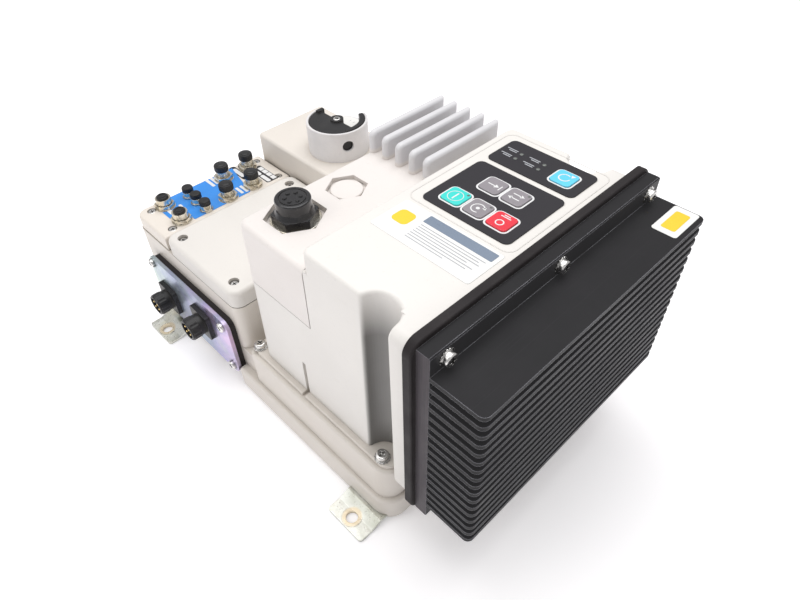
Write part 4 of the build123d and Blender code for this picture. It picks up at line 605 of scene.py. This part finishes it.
for key in KEY_NAMES:
    x, y, top = middle(key + "_button")
    bm = bmesh.new()
    key_symbol(key, bm, x, y, top, top + INK)
    piece(key + "_symbol", bm, "print_white", body=key + "_key")
    if key in ("hand", "auto", "direction"):
        bm = bmesh.new()
        lathe(bm, [(0.15, 0.0), (0.95, 0.0), (0.85, 0.12), (0.45, 0.22), (0.15, 0.24)],
              (x + 5.6, y + 5.4, top), steps=24)
        piece(key + "_lamp", bm, "led_lens", body=key + "_key")

# embossed border of the keypad field
FIELD = (122.8, 37.0)
COVER_TOP_Z = 206.2
bm = bmesh.new()
outer = rounded(*FIELD, 83.6, 106.6, 7.0)
inner = rounded(*FIELD, 82.2, 105.2, 6.3)
frame_prism(bm, outer, inner, COVER_TOP_Z, COVER_TOP_Z + 0.14)
piece("keypad_border", bm, "cover_paint")

# plain marks beside the status lights
bm = bmesh.new()
for x, y in [(x, y) for x in (96.5, 115.0) for y in STATUS_ROWS]:
    prism(bm, rounded(x, y + 1.2, 9.0, 0.9, 0.3), overlay_z, overlay_z + INK)
    prism(bm, rounded(x + 1.2, y - 0.6, 6.4, 0.9, 0.3), overlay_z, overlay_z + INK)
piece("status_marks", bm, "print_grey")

# lens domes over the status lights
bm = bmesh.new()
dome = [(0.1, 0.0), (1.5, 0.0), (1.45, 0.18), (1.05, 0.42), (0.5, 0.54), (0.1, 0.56)]
for x, y in [(x, y) for x in (104.7, 123.6) for y in STATUS_ROWS]:
    lathe(bm, dome, (x, y, overlay_z), steps=24)
piece("status_lenses", bm, "led_lens")

# ---------------------------------------------------------------- plain stickers
sticker_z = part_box("surface_labels")[1].z / MM
bm = bmesh.new()
prism(bm, rounded(134.2, -24.4, 53.0, 7.6, 0.8), sticker_z, sticker_z + INK)
piece("sticker_band", bm, "print_slate")
bm = bmesh.new()
for line, width in enumerate((50.0, 47.0, 49.0, 42.0, 48.0, 45.0, 30.0)):
    y = -31.0 - 2.3 * line
    prism(bm, rounded(109.0 + width / 2, y, width, 0.6, 0.25), sticker_z, sticker_z + INK)
piece("sticker_lines", bm, "print_grey")
bm = bmesh.new()
prism(bm, rounded(96.4, -33.0, 12.6, 12.6, 3.6), sticker_z, sticker_z + INK)
piece("sticker_panel", bm, "print_amber")

FIN_STICKER_Z = 197.2
bm = bmesh.new()
prism(bm, rounded(210.9, 89.5, 9.6, 21.0, 1.6), FIN_STICKER_Z, FIN_STICKER_Z + INK)
piece("fin_sticker_panel", bm, "print_amber")

# ---------------------------------------------------------------- signal panel printing
label_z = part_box("io_label")[1].z / MM
panel_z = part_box("io_cover")[1].z / MM

bm = bmesh.new()
for x, y, w, h in ((-165.2, -31.4, 15.6, 3.0), (-165.4, -26.6, 13.0, 3.0), (-134.9, -19.0, 11.6, 2.8),
                   (-134.4, -14.4, 12.4, 2.8), (-151.9, -80.6, 9.0, 3.6), (-152.6, -69.6, 5.0, 2.6)):
    prism(bm, rounded(x, y, w, h, 0.5), label_z, label_z + INK)
piece("signal_fields", bm, "print_white")

bm = bmesh.new()
prism(bm, rounded(-160.0, -2.7, 28.0, 6.6, 2.8), panel_z, panel_z + INK)
prism(bm, rounded(-141.8, 13.0, 30.6, 12.4, 2.2), panel_z, panel_z + INK)
prism(bm, rounded(-146.5, 3.7, 14.0, 5.9, 2.0), panel_z, panel_z + INK)
black_field = piece("signal_field_dark", bm, "print_black")
SOCKET_CLEAR = [(x, y, 9.0) for x, y in TALL_SOCKETS[2:]]
cut_round(black_field, SOCKET_CLEAR, panel_z - 1.0, panel_z + 2.0)

bm = bmesh.new()
field_z = panel_z + INK
for cell in range(4):
    prism(bm, rounded(-150.8 + 6.6 * cell, 16.3, 5.8, 4.6, 0.5), field_z, panel_z + 2 * INK)
prism(bm, rounded(-148.6, 9.9, 12.4, 4.0, 1.8), field_z, panel_z + 2 * INK)
prism(bm, rounded(-134.4, 9.9, 13.6, 4.0, 1.8), field_z, panel_z + 2 * INK)
prism(bm, rounded(-160.4, -2.7, 18.0, 4.2, 2.0), field_z, panel_z + 2 * INK)
cells = piece("signal_cells", bm, "print_white")
cut_round(cells, SOCKET_CLEAR, panel_z - 1.0, panel_z + 2.0)


# knurled grips on the socket caps
def knurl(index, s):
    return 0.25 if s % 2 and index in (1, 2) else 0.0


bm = bmesh.new()
for x, y in TALL_SOCKETS:
    lathe(bm, band(6.0, 6.35, 115.9, 120.3), (x, y, 0.0), steps=56, ripple=knurl)
for x, y in LOW_SOCKETS:
    lathe(bm, band(4.7, 5.05, 115.75, 116.7), (x, y, 0.0), steps=44, ripple=knurl)
for x, y in SERVICE_SOCKETS:
    lathe(bm, band(4.5, 4.75, 112.2, 115.6), (x, y, 0.0), steps=44, ripple=knurl)
piece("cap_knurls", bm, "black_plastic", smooth_angle=20.0)

# recess discs on the caps
bm = bmesh.new()
for x, y in TALL_SOCKETS:
    lathe(bm, [(0.1, 121.4), (4.3, 121.4), (4.3, 121.7), (3.9, 121.9), (0.1, 121.9)], (x, y, 0.0))
for x, y in LOW_SOCKETS:
    lathe(bm, band(2.6, 3.6, 117.5, 117.9), (x, y, 0.0))
piece("cap_discs", bm, "black_plastic")


# grip ribs round the power inlets, and the tips of their contacts
def grip(index, s):
    return 0.4 if s % 4 > 1 and index in (1, 2) else 0.0


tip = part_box("power_connectors")[0].y / MM
bm = bmesh.new()
for x, z in INLETS:
    lathe(bm, band(9.2, 9.75, tip + 1.6, tip + 8.4), (x, 0.0, z), "Y", 60, grip)
piece("inlet_grips", bm, "black_plastic", smooth_angle=20.0)
bm = bmesh.new()
contact = [(0.1, tip + 1.5), (0.95, tip + 1.5), (0.9, tip + 0.6), (0.5, tip + 0.25), (0.1, tip + 0.2)]
for x, z in INLETS:
    for turn in range(4):
        angle = math.radians(45 + 90 * turn)
        place = (x + 4.2 * math.cos(angle), 0.0, z + 4.2 * math.sin(angle))
        lathe(bm, contact, place, "Y", 20)
piece("inlet_contacts", bm, "contact_gold")

# ---------------------------------------------------------------- disconnect markings
dial_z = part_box("disconnect_dial")[1].z / MM
bm = bmesh.new()
prism(bm, arc_band(*DIAL, 9.0, 15.5, 8.0, 34.0), dial_z, dial_z + INK)
piece("dial_red", bm, "print_red", body="knob")
bm = bmesh.new()
prism(bm, arc_band(*DIAL, 9.0, 15.5, 146.0, 164.0), dial_z, dial_z + INK)
piece("dial_green", bm, "print_green", body="knob")
bm = bmesh.new()
for angle in (70, 85, 100):
    prism(bm, arc_band(*DIAL, 17.0, 19.4, angle - 0.7, angle + 0.7, 3), dial_z, dial_z + INK)
piece("dial_ticks", bm, "print_grey", body="knob")


# ---------------------------------------------------------------- toothed washers under the pan screws
def toothed(index, s):
    return 0.45 if (s // 2) % 2 and index in (1, 2) else 0.0


bm = bmesh.new()
for x, y in MODULE_SCREWS:
    lathe(bm, band(3.0, 5.3, 60.9, 61.7), (x, y, 0.0), steps=56, ripple=toothed)
for y, z in SINK_SCREWS:
    lathe(bm, band(3.0, 5.2, 187.6, 188.4), (0.0, y, z), "X", 56, toothed)
piece("toothed_washers", bm, "screw_steel", smooth_angle=20.0)

# ---------------------------------------------------------------- stage, light and camera
bpy.ops.mesh.primitive_plane_add(size=12.0, location=(0.0, 0.0, 0.0))
floor = bpy.context.object
floor.name = "studio_floor"
paper = Graph("studio_paper")
paper.set("Base Color", paper.mix(paper.noise(3.0), (0.93, 0.92, 0.93), (0.95, 0.94, 0.95)))
paper.set("Roughness", 0.75)
paper.set("Emission Color", (1.0, 0.99, 1.0))
paper.set("Emission Strength", 0.22)
floor.data.materials.append(paper.material)

world = bpy.data.worlds.new("studio_world")
bpy.context.scene.world = world
world.use_nodes = True
sky = world.node_tree.nodes["Background"]
sky.inputs["Color"].default_value = (1.0, 0.99, 1.0, 1.0)
sky.inputs["Strength"].default_value = 0.54


def softbox(name, place, target, size, power, colour=(1.0, 1.0, 1.0)):
    light = bpy.data.lights.new(name, "AREA")
    light.shape = "RECTANGLE"
    light.size = size[0]
    light.size_y = size[1]
    light.energy = power
    light.color = colour
    lamp = bpy.data.objects.new(name, light)
    lamp.location = place
    lamp.rotation_euler = (Vector(target) - Vector(place)).to_track_quat("-Z", "Y").to_euler()
    bpy.context.scene.collection.objects.link(lamp)


softbox("overhead", (-0.15, 0.20, 1.7), (0.0, 0.0, 0.1), (1.8, 1.8), 25.0)
softbox("front", (-0.7, -1.4, 1.1), (0.0, 0.0, 0.1), (0.9, 1.2), 5.0, (1.0, 0.99, 0.97))

camera_data = bpy.data.cameras.new("camera")
camera_data.lens = 28.046
camera_data.sensor_width = 36.0
camera = bpy.data.objects.new("camera", camera_data)
camera.location = (0.314193, -0.244160, 0.436422)
camera.rotation_euler = (math.radians(45.2282), math.radians(0.9340), math.radians(45.6155))
bpy.context.scene.collection.objects.link(camera)
bpy.context.scene.camera = camera
bpy.context.scene.view_settings.view_transform = "Standard"
